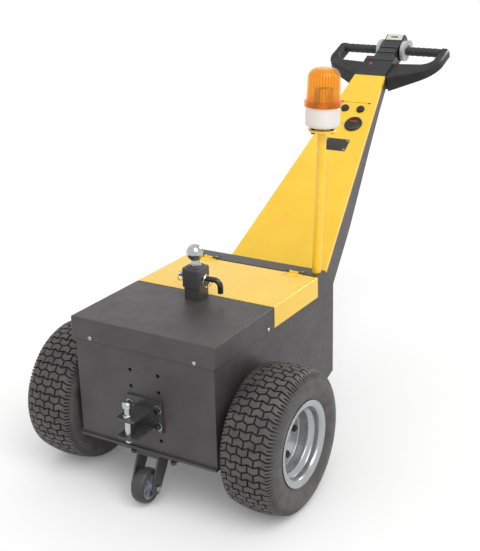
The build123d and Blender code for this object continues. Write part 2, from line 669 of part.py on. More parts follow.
# Control head: a low cowl that carries the neck's slope on, then a narrower head, both ribbed across
with BuildPart() as head_housing:
    with BuildSketch(HANDLE_SIDE) as cowl_profile:
        with BuildLine():
            Polyline(
                (COWL_FRONT[0], HANDLE_TOP), COWL_FRONT, COWL_TOP, COWL_BACK,
                (ROOT_REAR, HANDLE_TOP), close=True,
            )
        make_face()
    extrude(amount=COWL_HALF, both=True)
    with BuildSketch(HANDLE_SIDE) as head_profile:
        with BuildLine():
            Polyline(
                (HEAD_START[0], HANDLE_TOP), HEAD_START, HEAD_KNEE, HEAD_TOP, (HEAD_Q, HEAD_BACK_H),
                (HEAD_Q - 8, HEAD_LOW), (ROOT_REAR + 1, HEAD_LOW - 6), (ROOT_REAR, HANDLE_TOP), close=True,
            )
        make_face()
    extrude(amount=HEAD_HALF, both=True)
    for rib_q in COWL_RIBS:
        with BuildSketch(HANDLE_SIDE) as cowl_rib:
            with Locations((rib_q, COWL_FRONT[1] + COWL_RISE * (rib_q - COWL_FRONT[0]))):
                Rectangle(HEAD_RIB[0], 2 * HEAD_RIB[1])
        extrude(amount=COWL_HALF - HEAD_EDGE, both=True)
    for rib_q in HEAD_RIBS:
        with BuildSketch(HANDLE_SIDE) as head_rib:
            with Locations((rib_q, HEAD_START[1] + HEAD_RISE * (rib_q - HEAD_START[0]))):
                Rectangle(HEAD_RIB[0], 2 * HEAD_RIB[1])
        extrude(amount=HEAD_HALF - HEAD_EDGE, both=True)
head_housing.part.label = "head_housing"
export_step(head_housing.part, "parts/head_housing.step")

# Throttle discs at the inner ends of the grips, each with a thumb wing at the top rear
with BuildPart() as throttles:
    with BuildSketch(HANDLE_SIDE.offset(HEAD_HALF + THROTTLE_GAP)) as throttle_disc:
        with Locations((GRIP_Q, GRIP_H)):
            Circle(THROTTLE_R)
            Circle(BAR_R, mode=Mode.SUBTRACT)
    extrude(amount=THROTTLE_T)
    with BuildSketch(HANDLE_SIDE.offset(HEAD_HALF + THROTTLE_GAP)) as wing:
        with Locations(Location((GRIP_Q, GRIP_H), WING_TURN)):
            with Locations(((GRIP_R + GRIP_GAP + WING_R) / 2, 0)):
                Rectangle(WING_R - GRIP_R - GRIP_GAP, WING_W)
    extrude(amount=WING_T)
    mirror(about=Plane.YZ)
throttles.part.label = "throttles"
export_step(throttles.part, "parts/throttles.step")

# Blank plate on top of the head
with BuildPart() as head_plate:
    with BuildSketch(HANDLE_SIDE) as head_plate_profile:
        with BuildLine():
            near = HEAD_KNEE[1] + PLATE_RISE * (HEAD_PLATE_Q[0] - HEAD_KNEE[0])
            far = HEAD_KNEE[1] + PLATE_RISE * (HEAD_PLATE_Q[1] - HEAD_KNEE[0])
            Polyline(
                (HEAD_PLATE_Q[0], near), (HEAD_PLATE_Q[1], far), (HEAD_PLATE_Q[1], far + HEAD_PLATE_T),
                (HEAD_PLATE_Q[0], near + HEAD_PLATE_T), close=True,
            )
        make_face()
    extrude(amount=HEAD_PLATE_HALF, both=True)
head_plate.part.label = "head_plate"
export_step(head_plate.part, "parts/head_plate.step")

# Stop button: a bulged pad over the rear end of the head
with BuildPart() as stop_button:
    with BuildSketch(HANDLE_SIDE) as pad_profile:
        with BuildLine():
            pad_top = (HEAD_Q, HEAD_BACK_H)
            pad_low = (HEAD_Q - 8, HEAD_LOW)
            ThreePointArc(pad_top, (HEAD_Q - 4 + BUTTON_BULGE, (HEAD_BACK_H + HEAD_LOW) / 2), pad_low)
            Line(pad_low, pad_top)
        make_face()
    extrude(amount=BUTTON_HALF, both=True)
stop_button.part.label = "stop_button"
export_step(stop_button.part, "parts/stop_button.step")

# Beacon post: yellow tube standing on the rear strip
with BuildPart() as beacon_post:
    with BuildSketch(BEACON) as post_ring:
        Circle(BEACON_POST_R)
        Circle(BEACON_POST_R - BEACON_POST_WALL, mode=Mode.SUBTRACT)
    extrude(amount=BEACON_POST_H)
    with BuildSketch(Plane.XY.offset(COVER_TOP)) as below:
        with Locations((BEACON_FOOT[0], BEACON_FOOT[1])):
            Rectangle(4 * BEACON_POST_R, 4 * BEACON_POST_R)
    extrude(amount=-BEACON_POST_R, mode=Mode.SUBTRACT)
beacon_post.part.label = "beacon_post"
export_step(beacon_post.part, "parts/beacon_post.step")

# Round flange on the post that carries the beacon
with BuildPart() as beacon_flange:
    with BuildSketch(BEACON.offset(BEACON_POST_H)) as flange:
        Circle(BEACON_FLANGE_R)
    extrude(amount=BEACON_FLANGE_T)
beacon_flange.part.label = "beacon_flange"
export_step(beacon_flange.part, "parts/beacon_flange.step")

# Beacon base: white moulded cup on three small feet
with BuildPart() as beacon_base:
    with BuildSketch(CUP) as cup:
        Circle(BEACON_BASE_R)
    extrude(amount=BEACON_BASE_H)
    fillet(beacon_base.faces().sort_by(Axis.Z)[0].edges(), BEACON_BASE_ROUND)
    with BuildSketch(CUP.offset(BEACON_BASE_FLOOR)) as cup_inside:
        Circle(BEACON_BASE_R - BEACON_BASE_WALL)
    extrude(amount=BEACON_BASE_H, mode=Mode.SUBTRACT)
    with BuildSketch(CUP) as cup_feet:
        with PolarLocations(BEACON_FOOT_CIRCLE_R, BEACON_FEET):
            Circle(BEACON_FOOT_SIZE[0])
    extrude(amount=-BEACON_FOOT_SIZE[1])
beacon_base.part.label = "beacon_base"
export_step(beacon_base.part, "parts/beacon_base.step")

# Beacon lens: amber dome with a rim that sits on the base
LENS_SECTION = Plane(origin=LENS.origin, x_dir=LENS.x_dir, z_dir=-LENS.y_dir)
LENS_INNER_R = LENS_SHOULDER_R - LENS_WALL
with BuildPart() as beacon_lens:
    with BuildSketch(LENS_SECTION) as dome:
        with BuildLine():
            shoulder = (LENS_SHOULDER_R, LENS_H - LENS_ROUND)
            inner_shoulder = (LENS_INNER_R, LENS_H - LENS_ROUND)
            crown = (LENS_CROWN_R, LENS_H)
            inner_crown = (LENS_CROWN_R, LENS_H - LENS_WALL)
            Polyline(
                (LENS_INNER_R, 0), (LENS_RIM_R, 0), (LENS_RIM_R, LENS_RIM_H - 2),
                (LENS_FOOT_R, LENS_RIM_H), shoulder,
            )
            RadiusArc(shoulder, crown, -LENS_ROUND)
            Polyline(crown, (0, LENS_H), (0, LENS_H - LENS_WALL), inner_crown)
            RadiusArc(inner_crown, inner_shoulder, LENS_ROUND - LENS_WALL)
            Line(inner_shoulder, (LENS_INNER_R, 0))
        make_face()
    revolve(axis=Axis(LENS.origin, LENS.z_dir))
beacon_lens.part.label = "beacon_lens"
export_step(beacon_lens.part, "parts/beacon_lens.step")

# Lamp inside the lens, standing on the floor of the base
with BuildPart() as beacon_lamp:
    with BuildSketch(CUP.offset(BEACON_BASE_FLOOR)) as socket:
        Circle(SOCKET_R)
    extrude(amount=BEACON_BASE_H - BEACON_BASE_FLOOR)
    with BuildSketch(LENS) as bulb:
        Circle(BULB_R)
    extrude(amount=BULB_H)
    fillet(beacon_lamp.edges().sort_by(Axis.Z)[-1], BULB_R / 2)
beacon_lamp.part.label = "beacon_lamp"
export_step(beacon_lamp.part, "parts/beacon_lamp.step")

# Reflector that turns round the lamp: a ring with a curved mirror on it
with BuildPart() as beacon_reflector:
    with BuildSketch(LENS.offset(-RING_DROP)) as ring:
        Circle(RING_R)
        Circle(SOCKET_R + 1, mode=Mode.SUBTRACT)
    extrude(amount=RING_T)
    with BuildSketch(LENS.offset(RING_T - RING_DROP)) as mirror_arc:
        Circle(MIRROR_R)
        Circle(MIRROR_R - MIRROR_T, mode=Mode.SUBTRACT)
        with Locations((0, -MIRROR_R / 2)):
            Rectangle(2 * RING_R, MIRROR_R, mode=Mode.SUBTRACT)
    extrude(amount=MIRROR_H)
beacon_reflector.part.label = "beacon_reflector"
export_step(beacon_reflector.part, "parts/beacon_reflector.step")

# Ball post: square tube through the cover, standing on the channel
with BuildPart() as ball_post:
    with BuildSketch(Plane.XY.offset(BEAM_Z)) as post_tube:
        with Locations((0, POST_Y)):
            RectangleRounded(2 * POST_HALF, 2 * POST_HALF, POST_ROUND)
            Rectangle(2 * (POST_HALF - POST_WALL), 2 * (POST_HALF - POST_WALL), mode=Mode.SUBTRACT)
    extrude(amount=COLLAR_HIGH - BEAM_Z)
    with BuildSketch(Plane.YZ) as lock_hole:
        with Locations((POST_Y, LOCK_Z)):
            Circle(LOCK_R)
    extrude(amount=2 * POST_HALF, both=True, mode=Mode.SUBTRACT)
ball_post.part.label = "ball_post"
export_step(ball_post.part, "parts/ball_post.step")

# Collar: larger square tube over the post, with a stepped top plate
with BuildPart() as ball_collar:
    with BuildSketch(Plane.XY.offset(COLLAR_LOW)) as collar_tube:
        with Locations((0, POST_Y)):
            RectangleRounded(2 * COLLAR_HALF, 2 * COLLAR_HALF, COLLAR_ROUND)
            RectangleRounded(2 * POST_HALF, 2 * POST_HALF, POST_ROUND, mode=Mode.SUBTRACT)
    extrude(amount=COLLAR_HIGH - COLLAR_LOW)
    for level, half in ((COLLAR_HIGH, COLLAR_HALF), (COLLAR_HIGH + STEP_RISE, STEP_HALF)):
        with BuildSketch(Plane.XY.offset(level)) as step:
            with Locations((0, POST_Y)):
                RectangleRounded(2 * half, 2 * half, COLLAR_ROUND)
        extrude(amount=STEP_RISE, taper=STEP_TAPER)
    with BuildSketch(Plane.YZ) as collar_hole:
        with Locations((POST_Y, LOCK_Z)):
            Circle(LOCK_R)
    extrude(amount=2 * COLLAR_HALF, both=True, mode=Mode.SUBTRACT)
ball_collar.part.label = "ball_collar"
export_step(ball_collar.part, "parts/ball_collar.step")

# Hitch ball on its neck and foot
BALL_UNDER = BALL_Z - sqrt(BALL_R**2 - BALL_NECK_R**2)
with BuildPart() as hitch_ball:
    with BuildSketch(Plane(origin=(0, POST_Y, 0), x_dir=(1, 0, 0), z_dir=(0, -1, 0))) as ball_profile:
        with BuildLine():
            Polyline(
                (0, STEP_HIGH), (BALL_FOOT_R, STEP_HIGH), (BALL_FOOT_R, STEP_HIGH + BALL_FOOT_H),
                (BALL_NECK_R, (STEP_HIGH + BALL_FOOT_H + BALL_UNDER) / 2), (BALL_NECK_R, BALL_UNDER),
            )
            ThreePointArc((BALL_NECK_R, BALL_UNDER), (BALL_R, BALL_Z), (0, BALL_Z + BALL_R))
            Line((0, BALL_Z + BALL_R), (0, STEP_HIGH))
        make_face()
    revolve(axis=Axis((0, POST_Y, 0), (0, 0, 1)))
hitch_ball.part.label = "hitch_ball"
export_step(hitch_ball.part, "parts/hitch_ball.step")

# Bent locking pin through the collar and the post
with BuildPart() as collar_pin:
    with BuildLine() as lock_path:
        bend_start = (LOCK_X - LOCK_BEND, POST_Y, LOCK_Z)
        bend_end = (LOCK_X, POST_Y, LOCK_Z - LOCK_BEND)
        bend_in = LOCK_BEND * (1 - sqrt(0.5))
        Line((-LOCK_TAIL, POST_Y, LOCK_Z), bend_start)
        ThreePointArc(bend_start, (LOCK_X - bend_in, POST_Y, LOCK_Z - bend_in), bend_end)
        Line(bend_end, (LOCK_X, POST_Y, LOCK_Z - LOCK_BEND - LOCK_LEG))
    lock_end = Plane(origin=(-LOCK_TAIL, POST_Y, LOCK_Z), x_dir=(0, 1, 0), z_dir=(1, 0, 0))
    with BuildSketch(lock_end) as lock_round:
        Circle(LOCK_R)
    sweep()
collar_pin.part.label = "collar_pin"
export_step(collar_pin.part, "parts/collar_pin.step")

# Hitch bracket: back plate bolted to the front plate and two flat tongues
BOLT_PLACES = [(x, GRID_TOP - row * GRID_PITCH) for row in BRACKET_ROWS for x in (-GRID_X, GRID_X)]
with BuildPart() as hitch_bracket:
    with BuildSketch(Plane.XZ.offset(-FRONT_Y)) as back:
        with Locations((0, (BRACKET_LOW + BRACKET_HIGH) / 2)):
            Rectangle(2 * BRACKET_HALF, BRACKET_HIGH - BRACKET_LOW)
        with Locations(*BOLT_PLACES):
            Circle(GRID_R, mode=Mode.SUBTRACT)
    extrude(amount=BRACKET_T)
    for top in TONGUE_TOPS:
        with BuildSketch(Plane.XY.offset(top)) as tongue:
            with Locations((0, (FRONT_Y + TONGUE_Y) / 2)):
                Rectangle(2 * TONGUE_HALF, FRONT_Y - TONGUE_Y)
            fillet(tongue.vertices().group_by(Axis.Y)[0], TONGUE_R)
            with Locations((0, PIN_Y)):
                Circle(PIN_HOLE_R, mode=Mode.SUBTRACT)
        extrude(amount=-TONGUE_T)
hitch_bracket.part.label = "hitch_bracket"
export_step(hitch_bracket.part, "parts/hitch_bracket.step")

# Four bolts with washers that hold the bracket
with BuildPart() as bracket_bolts:
    with BuildSketch(Plane.XZ.offset(BRACKET_T - FRONT_Y)) as washers:
        with Locations(*BOLT_PLACES):
            Circle(WASHER_R)
    extrude(amount=WASHER_T)
    with BuildSketch(Plane.XZ.offset(BRACKET_T + WASHER_T - FRONT_Y)) as heads:
        with Locations(*BOLT_PLACES):
            RegularPolygon(BOLT_HEAD_R, 6)
    extrude(amount=BOLT_HEAD_H)
    with BuildSketch(Plane.XZ.offset(-FRONT_Y - PLATE_T - BOLT_TAIL)) as shanks:
        with Locations(*BOLT_PLACES):
            Circle(GRID_R - 0.5)
    extrude(amount=PLATE_T + BOLT_TAIL + BRACKET_T)
bracket_bolts.part.label = "bracket_bolts"
export_step(bracket_bolts.part, "parts/bracket_bolts.step")

# Tow pin: turned pin with a collar that rests on the upper tongue, a stem and a head
with BuildPart() as tow_pin:
    with BuildSketch(Plane(origin=(0, PIN_Y, 0), x_dir=(1, 0, 0), z_dir=(0, -1, 0))) as pin_profile:
        with BuildLine():
            collar_top = TONGUE_TOPS[0] + PIN_COLLAR_H
            dome_z = PIN_HEAD_Z + PIN_HEAD_SIDE
            Polyline(
                (0, PIN_LOW), (PIN_R - PIN_POINT, PIN_LOW), (PIN_R, PIN_LOW + PIN_POINT),
                (PIN_R, TONGUE_TOPS[0]),
                (PIN_HEAD_R, TONGUE_TOPS[0]), (PIN_HEAD_R, collar_top), (PIN_R - 1, collar_top),
                (PIN_R - 1, PIN_HEAD_Z), (PIN_HEAD_R, PIN_HEAD_Z + PIN_POINT), (PIN_HEAD_R, dome_z),
            )
            dome_r = (PIN_HEAD_R**2 + PIN_DOME**2) / (2 * PIN_DOME)
            dome_mid = PIN_DOME - dome_r + sqrt(dome_r**2 - PIN_HEAD_R**2 / 4)
            ThreePointArc((PIN_HEAD_R, dome_z), (PIN_HEAD_R / 2, dome_z + dome_mid), (0, dome_z + PIN_DOME))
            Line((0, dome_z + PIN_DOME), (0, PIN_LOW))
        make_face()
    revolve(axis=Axis((0, PIN_Y, 0), (0, 0, 1)))
tow_pin.part.label = "tow_pin"
export_step(tow_pin.part, "parts/tow_pin.step")

# Front castor fork: plate under the floor, crown and two raked legs
FRONT_PLATE_Z = FLOOR_Z - FRONT_PLATE[2]
with BuildPart() as front_castor_fork:
    with BuildSketch(Plane.XY.offset(FRONT_PLATE_Z)) as castor_plate:
        with Locations((0, FRONT_PLATE_Y)):
            Rectangle(FRONT_PLATE[0], FRONT_PLATE[1])
    extrude(amount=FRONT_PLATE[2])
    with BuildSketch(Plane.YZ) as leg_profile:
        with BuildLine():
            leg_rear = (FRONT_CASTOR_Y + 0.8 * FRONT_LEG_R, FRONT_CASTOR_Z - 0.6 * FRONT_LEG_R)
            leg_front = (FRONT_CASTOR_Y - FRONT_LEG_R, FRONT_CASTOR_Z)
            Polyline(
                leg_front, (FRONT_CASTOR_Y + FRONT_LEG_TOP[0], FRONT_PLATE_Z),
                (FRONT_CASTOR_Y + FRONT_LEG_TOP[1], FRONT_PLATE_Z), leg_rear,
            )
            ThreePointArc(leg_rear, (FRONT_CASTOR_Y, FRONT_CASTOR_Z - FRONT_LEG_R), leg_front)
        make_face()
        with Locations((FRONT_CASTOR_Y, FRONT_CASTOR_Z)):
            Circle(CASTOR_BORE_R, mode=Mode.SUBTRACT)
    extrude(amount=FRONT_FORK_IN + FRONT_FORK_T, both=True)
    with BuildSketch(Plane.YZ) as between:
        with Locations((FRONT_CASTOR_Y, (FRONT_PLATE_Z - FRONT_CROWN_T) / 2)):
            Rectangle(4 * FRONT_PLATE[1], FRONT_PLATE_Z - FRONT_CROWN_T)
    extrude(amount=FRONT_FORK_IN, both=True, mode=Mode.SUBTRACT)
front_castor_fork.part.label = "front_castor_fork"
export_step(front_castor_fork.part, "parts/front_castor_fork.step")

# Rear castor plate under the floor, with its ball race and kingpin
with BuildPart() as rear_castor_plate:
    with BuildSketch(Plane.XY.offset(FLOOR_Z)) as rear_plate:
        with Locations((0, SWIVEL_Y)):
            Rectangle(REAR_PLATE[0], REAR_PLATE[1])
    extrude(amount=-REAR_PLATE[2])
    with BuildSketch(Plane.XY.offset(FLOOR_Z - REAR_PLATE[2])) as race:
        with Locations((0, SWIVEL_Y)):
            Circle(RACE_R)
    extrude(amount=-RACE_T)
    with BuildSketch(Plane.XY.offset(FLOOR_Z - REAR_PLATE[2] - RACE_T)) as kingpin:
        with Locations((0, SWIVEL_Y)):
            Circle(KINGPIN_R)
    extrude(amount=-KINGPIN_L)
rear_castor_plate.part.label = "rear_castor_plate"
export_step(rear_castor_plate.part, "parts/rear_castor_plate.step")

# Rear castor fork: crown round the kingpin and two legs trailing to the rear
FORK_OUT = REAR_FORK_IN + REAR_FORK_T
with BuildPart() as rear_castor_fork:
    with BuildSketch(Plane.XY.offset(REAR_CROWN_Z)) as crown_plan:
        with Locations((0, SWIVEL_Y)):
            Circle(REAR_CROWN_R)
        with Locations((0, (SWIVEL_Y + REAR_WHEEL_Y + REAR_LEG_END) / 2)):
            Rectangle(2 * FORK_OUT, REAR_WHEEL_Y + REAR_LEG_END - SWIVEL_Y)
    extrude(amount=-REAR_CROWN_T)
    with BuildSketch(Plane.YZ) as rear_leg:
        with BuildLine():
            leg_end = REAR_WHEEL_Y + REAR_LEG_END
            Polyline(
                (REAR_WHEEL_Y - REAR_LEG_END, CASTOR_R),
                (SWIVEL_Y - REAR_LEG_END, REAR_CROWN_Z - REAR_CROWN_T / 2),
                (leg_end, REAR_CROWN_Z - REAR_CROWN_T / 2), (leg_end, CASTOR_R),
            )
            ThreePointArc(
                (leg_end, CASTOR_R), (REAR_WHEEL_Y, CASTOR_R - REAR_LEG_END),
                (REAR_WHEEL_Y - REAR_LEG_END, CASTOR_R),
            )
        make_face()
        with Locations((REAR_WHEEL_Y, CASTOR_R)):
            Circle(CASTOR_BORE_R, mode=Mode.SUBTRACT)
    extrude(amount=FORK_OUT, both=True)
    with BuildSketch(Plane.YZ) as rear_between:
        with Locations((REAR_WHEEL_Y, (REAR_CROWN_Z - REAR_CROWN_T) / 2)):
            Rectangle(4 * CASTOR_R, REAR_CROWN_Z - REAR_CROWN_T)
    extrude(amount=REAR_FORK_IN, both=True, mode=Mode.SUBTRACT)
    with BuildSketch(Plane.XY.offset(REAR_CROWN_Z)) as kingpin_hole:
        with Locations((0, SWIVEL_Y)):
            Circle(KINGPIN_R + RUN_GAP)
    extrude(amount=-REAR_CROWN_T, mode=Mode.SUBTRACT)
rear_castor_fork.part.label = "rear_castor_fork"
export_step(rear_castor_fork.part, "parts/rear_castor_fork.step")

# Castor axles, nuts, and wheels: a rubber tread ring on a ribbed plastic hub
CASTORS = (
    ("front_castor", FRONT_CASTOR_Y, FRONT_CASTOR_Z, FRONT_FORK_IN, FRONT_FORK_T),
    ("rear_castor", REAR_WHEEL_Y, CASTOR_R, REAR_FORK_IN, REAR_FORK_T),
)
for name, wheel_y, wheel_z, fork_in, fork_t in CASTORS:
    with BuildPart() as castor_axle:
        with BuildSketch(Plane.YZ) as axle_round:
            with Locations((wheel_y, wheel_z)):
                Circle(CASTOR_BORE_R)
        extrude(amount=fork_in + fork_t + CASTOR_NUT[1] + 1, both=True)
        with BuildSketch(Plane.YZ) as axle_nuts:
            with Locations((wheel_y, wheel_z)):
                RegularPolygon(CASTOR_NUT[0], 6)
                Circle(CASTOR_BORE_R, mode=Mode.SUBTRACT)
        extrude(amount=fork_in + fork_t + CASTOR_NUT[1], both=True)
        with BuildSketch(Plane.YZ) as between_nuts:
            with Locations((wheel_y, wheel_z)):
                RegularPolygon(CASTOR_NUT[0] + 1, 6)
                Circle(CASTOR_BORE_R, mode=Mode.SUBTRACT)
        extrude(amount=fork_in + fork_t, both=True, mode=Mode.SUBTRACT)
    castor_axle.part.label = name + "_axle"
    export_step(castor_axle.part, f"parts/{name}_axle.step")

    with BuildPart() as castor_tyre:
        with BuildSketch(Plane.XY.offset(wheel_z)) as tread_ring:
            with BuildLine():
                inner_y = wheel_y - CASTOR_HUB_R
                edge_y = wheel_y - CASTOR_R + CASTOR_CROWN
                Polyline(
                    (CASTOR_HALF, edge_y), (CASTOR_HALF, inner_y), (-CASTOR_HALF, inner_y),
                    (-CASTOR_HALF, edge_y),
                )
                ThreePointArc((-CASTOR_HALF, edge_y), (0, wheel_y - CASTOR_R), (CASTOR_HALF, edge_y))
            make_face()
        revolve(axis=Axis((0, wheel_y, wheel_z), (1, 0, 0)))
    castor_tyre.part.label = name + "_tyre"
    export_step(castor_tyre.part, f"parts/{name}_tyre.step")

    with BuildPart() as castor_hub:
        with BuildSketch(Plane.YZ) as hub_disc:
            with Locations((wheel_y, wheel_z)):
                Circle(CASTOR_HUB_R)
        extrude(amount=CASTOR_HUB_HALF, both=True)
        for side in (-1, 1):
            with BuildSketch(Plane.YZ.offset(side * CASTOR_WEB / 2)) as pockets:
                with Locations((wheel_y, wheel_z)):
                    Circle(CASTOR_HUB_R - CASTOR_RIM_T)
                    Circle(CASTOR_BOSS_R, mode=Mode.SUBTRACT)
                    with PolarLocations(CASTOR_HUB_R / 2, CASTOR_RIBS):
                        Rectangle(CASTOR_HUB_R, CASTOR_RIB_T, mode=Mode.SUBTRACT)
            extrude(amount=side * (CASTOR_HUB_HALF - CASTOR_WEB / 2), mode=Mode.SUBTRACT)
        with BuildSketch(Plane.YZ) as hub_boss:
            with Locations((wheel_y, wheel_z)):
                Circle(CASTOR_BOSS_R)
        extrude(amount=fork_in - 1, both=True)
        with BuildSketch(Plane.YZ) as hub_bore:
            with Locations((wheel_y, wheel_z)):
                Circle(CASTOR_BORE_R + RUN_GAP)
        extrude(amount=fork_in, both=True, mode=Mode.SUBTRACT)
    castor_hub.part.label = name + "_hub"
    export_step(castor_hub.part, f"parts/{name}_hub.step")

# Drive tyre: hollow casing, plain tread
with BuildPart() as tyre_right:
    with BuildSketch(WHEEL_PLANE) as casing:
        with BuildLine():
            bead_top = (RIM_HALF, FLANGE_R - 2)
            tread_edge = (TREAD_HALF, SHOULDER_R)
            inner_low = (RIM_HALF - SIDEWALL_T - 4, FLANGE_R - 6)
            inner_high = (TREAD_HALF - TREAD_T, SHOULDER_R - TREAD_T)
            Polyline(inner_low, (RIM_HALF - BEAD_W, BEAD_R), (RIM_HALF, BEAD_R), bead_top)
            ThreePointArc(bead_top, (BULGE_HALF, BULGE_R), tread_edge)
            ThreePointArc(tread_edge, (0, TYRE_R), (-tread_edge[0], tread_edge[1]))
            far_edge = (-tread_edge[0], tread_edge[1])
            ThreePointArc(far_edge, (-BULGE_HALF, BULGE_R), (-bead_top[0], bead_top[1]))
            Polyline(
                (-bead_top[0], bead_top[1]), (-RIM_HALF, BEAD_R), (BEAD_W - RIM_HALF, BEAD_R),
                (-inner_low[0], inner_low[1]),
            )
            ThreePointArc(
                (-inner_low[0], inner_low[1]), (SIDEWALL_T - BULGE_HALF, BULGE_R),
                (-inner_high[0], inner_high[1]),
            )
            ThreePointArc((-inner_high[0], inner_high[1]), (0, TYRE_R - TREAD_T), inner_high)
            ThreePointArc(inner_high, (BULGE_HALF - SIDEWALL_T, BULGE_R), inner_low)
        make_face()
    revolve(axis=WHEEL_AXIS)
tyre_right.part.label = "tyre_right"
export_step(tyre_right.part, "parts/tyre_right.step")

# Rim: rolled steel barrel with flanges and a drop centre, disc welded into the well
WELL_ENDS = (WELL_X - WELL_HALF, WELL_X + WELL_HALF)
with BuildPart() as rim_right:
    with BuildSketch(WHEEL_PLANE) as barrel:
        with BuildLine():
            seat_in = BEAD_R - RIM_WALL
            lip_out = RIM_HALF + RIM_LIP
            wall_out = RIM_HALF + RIM_WALL
            Polyline(
                (lip_out, FLANGE_R), (RIM_HALF, FLANGE_R - 3), (RIM_HALF, BEAD_R),
                (WELL_ENDS[1] + WELL_CONE, BEAD_R),
                (WELL_ENDS[1], WELL_R), (WELL_ENDS[0], WELL_R), (WELL_ENDS[0] - WELL_CONE, BEAD_R),
                (-RIM_HALF, BEAD_R),
                (-RIM_HALF, FLANGE_R - 3), (-lip_out, FLANGE_R), (-lip_out, FLANGE_R - RIM_WALL),
                (-wall_out, FLANGE_R - 6), (-wall_out, seat_in), (WELL_ENDS[0] - WELL_CONE - 2, seat_in),
                (WELL_ENDS[0] - 2, WELL_R - RIM_WALL), (WELL_ENDS[1] + 2, WELL_R - RIM_WALL),
                (WELL_ENDS[1] + WELL_CONE + 2, seat_in), (wall_out, seat_in), (wall_out, FLANGE_R - 6),
                (lip_out, FLANGE_R - RIM_WALL), close=True,
            )
        make_face()
        seats = barrel.vertices().filter_by_position(Axis.Y, seat_in - 0.1, seat_in + 0.1).sort_by(Axis.X)
        fillet((seats[0], seats[-1]), RIM_ROUND)
    revolve(axis=WHEEL_AXIS)
    with BuildSketch(Plane.YZ.offset(TRACK_HALF + DISC_X)) as disc:
        with Locations((AXLE_Y, AXLE_Z)):
            Circle(WELL_R - RIM_WALL / 2)
            Circle(DISC_BORE_R, mode=Mode.SUBTRACT)
            with PolarLocations(BOLT_CIRCLE_R, WHEEL_BOLTS, start_angle=BOLT_TURN):
                Circle(STUD_R + 1, mode=Mode.SUBTRACT)
    extrude(amount=DISC_T)
rim_right.part.label = "rim_right"
export_step(rim_right.part, "parts/rim_right.step")

# Hub: flange behind the disc, a boss running on the stub shaft, studs and wheel nuts
with BuildPart() as hub_right:
    with BuildSketch(Plane.YZ.offset(TRACK_HALF + DISC_X)) as hub_flange:
        with Locations((AXLE_Y, AXLE_Z)):
            Circle(HUB_R)
    extrude(amount=-HUB_T)
    with BuildSketch(Plane.YZ.offset(TRACK_HALF + DISC_X - BOSS_L)) as boss:
        with Locations((AXLE_Y, AXLE_Z)):
            Circle(DISC_BORE_R - 0.5)
    extrude(amount=BOSS_L + DISC_T + BOSS_OUT)
    with BuildSketch(Plane.YZ.offset(TRACK_HALF + DISC_X)) as studs:
        with Locations((AXLE_Y, AXLE_Z)):
            with PolarLocations(BOLT_CIRCLE_R, WHEEL_BOLTS, start_angle=BOLT_TURN):
                Circle(STUD_R)
    extrude(amount=DISC_T + NUT_H + 3)
    with BuildSketch(Plane.YZ.offset(TRACK_HALF + DISC_X + DISC_T)) as wheel_nuts:
        with Locations((AXLE_Y, AXLE_Z)):
            with PolarLocations(BOLT_CIRCLE_R, WHEEL_BOLTS, start_angle=BOLT_TURN):
                RegularPolygon(NUT_R, 6)
    extrude(amount=NUT_H)
    with BuildSketch(Plane.YZ.offset(TRACK_HALF + DISC_X - BOSS_L)) as bore:
        with Locations((AXLE_Y, AXLE_Z)):
            Circle(SHAFT_R + RUN_GAP)
    extrude(amount=BOSS_L + DISC_T + BOSS_OUT, mode=Mode.SUBTRACT)
hub_right.part.label = "hub_right"
export_step(hub_right.part, "parts/hub_right.step")

# Left wheel: the right one mirrored
with BuildPart() as tyre_left:
    add(tyre_right.part)
    mirror(about=Plane.YZ, mode=Mode.REPLACE)
tyre_left.part.label = "tyre_left"
export_step(tyre_left.part, "parts/tyre_left.step")

with BuildPart() as rim_left:
    add(rim_right.part)
    mirror(about=Plane.YZ, mode=Mode.REPLACE)
rim_left.part.label = "rim_left"
export_step(rim_left.part, "parts/rim_left.step")

with BuildPart() as hub_left:
    add(hub_right.part)
    mirror(about=Plane.YZ, mode=Mode.REPLACE)
hub_left.part.label = "hub_left"
export_step(hub_left.part, "parts/hub_left.step")
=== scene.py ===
import bmesh
import bpy
import numpy as np
from mathutils import Matrix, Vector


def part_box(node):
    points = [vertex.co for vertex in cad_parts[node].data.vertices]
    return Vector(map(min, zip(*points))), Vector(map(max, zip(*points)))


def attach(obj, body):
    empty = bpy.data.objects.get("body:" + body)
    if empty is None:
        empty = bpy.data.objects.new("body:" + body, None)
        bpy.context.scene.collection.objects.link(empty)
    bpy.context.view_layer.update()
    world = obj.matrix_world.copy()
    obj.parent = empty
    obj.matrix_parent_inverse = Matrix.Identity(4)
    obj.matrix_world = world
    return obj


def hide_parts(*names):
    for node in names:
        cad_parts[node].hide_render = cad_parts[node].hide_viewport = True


# Walk-behind electric tow tractor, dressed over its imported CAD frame.
# Sizes here are millimetres; each mesh is turned to metres as it is made.
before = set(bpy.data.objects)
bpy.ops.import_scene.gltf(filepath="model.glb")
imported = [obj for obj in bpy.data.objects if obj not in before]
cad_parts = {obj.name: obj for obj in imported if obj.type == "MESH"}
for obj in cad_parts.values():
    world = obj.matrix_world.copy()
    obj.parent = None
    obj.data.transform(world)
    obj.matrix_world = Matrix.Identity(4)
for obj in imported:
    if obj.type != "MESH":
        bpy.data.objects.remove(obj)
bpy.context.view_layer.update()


# Body tub, front plate and the channel that carries the ball post.
# 3 mm steel sheet, bent and welded, with a 6 mm plate in front, all sprayed
# with charcoal powder and baked, which leaves a satin skin with a fine orange peel.
def linear(hex_colour):
    """sRGB hex to linear RGBA: a channel c becomes ((c + 0.055) / 1.055) ** 2.4,
    or c / 12.92 near black."""
    c = np.array([int(hex_colour[i:i + 2], 16) for i in (1, 3, 5)]) / 255
    rgb = np.where(c <= 0.04045, c / 12.92, ((c + 0.055) / 1.055) ** 2.4)
    return (*rgb.tolist(), 1.0)


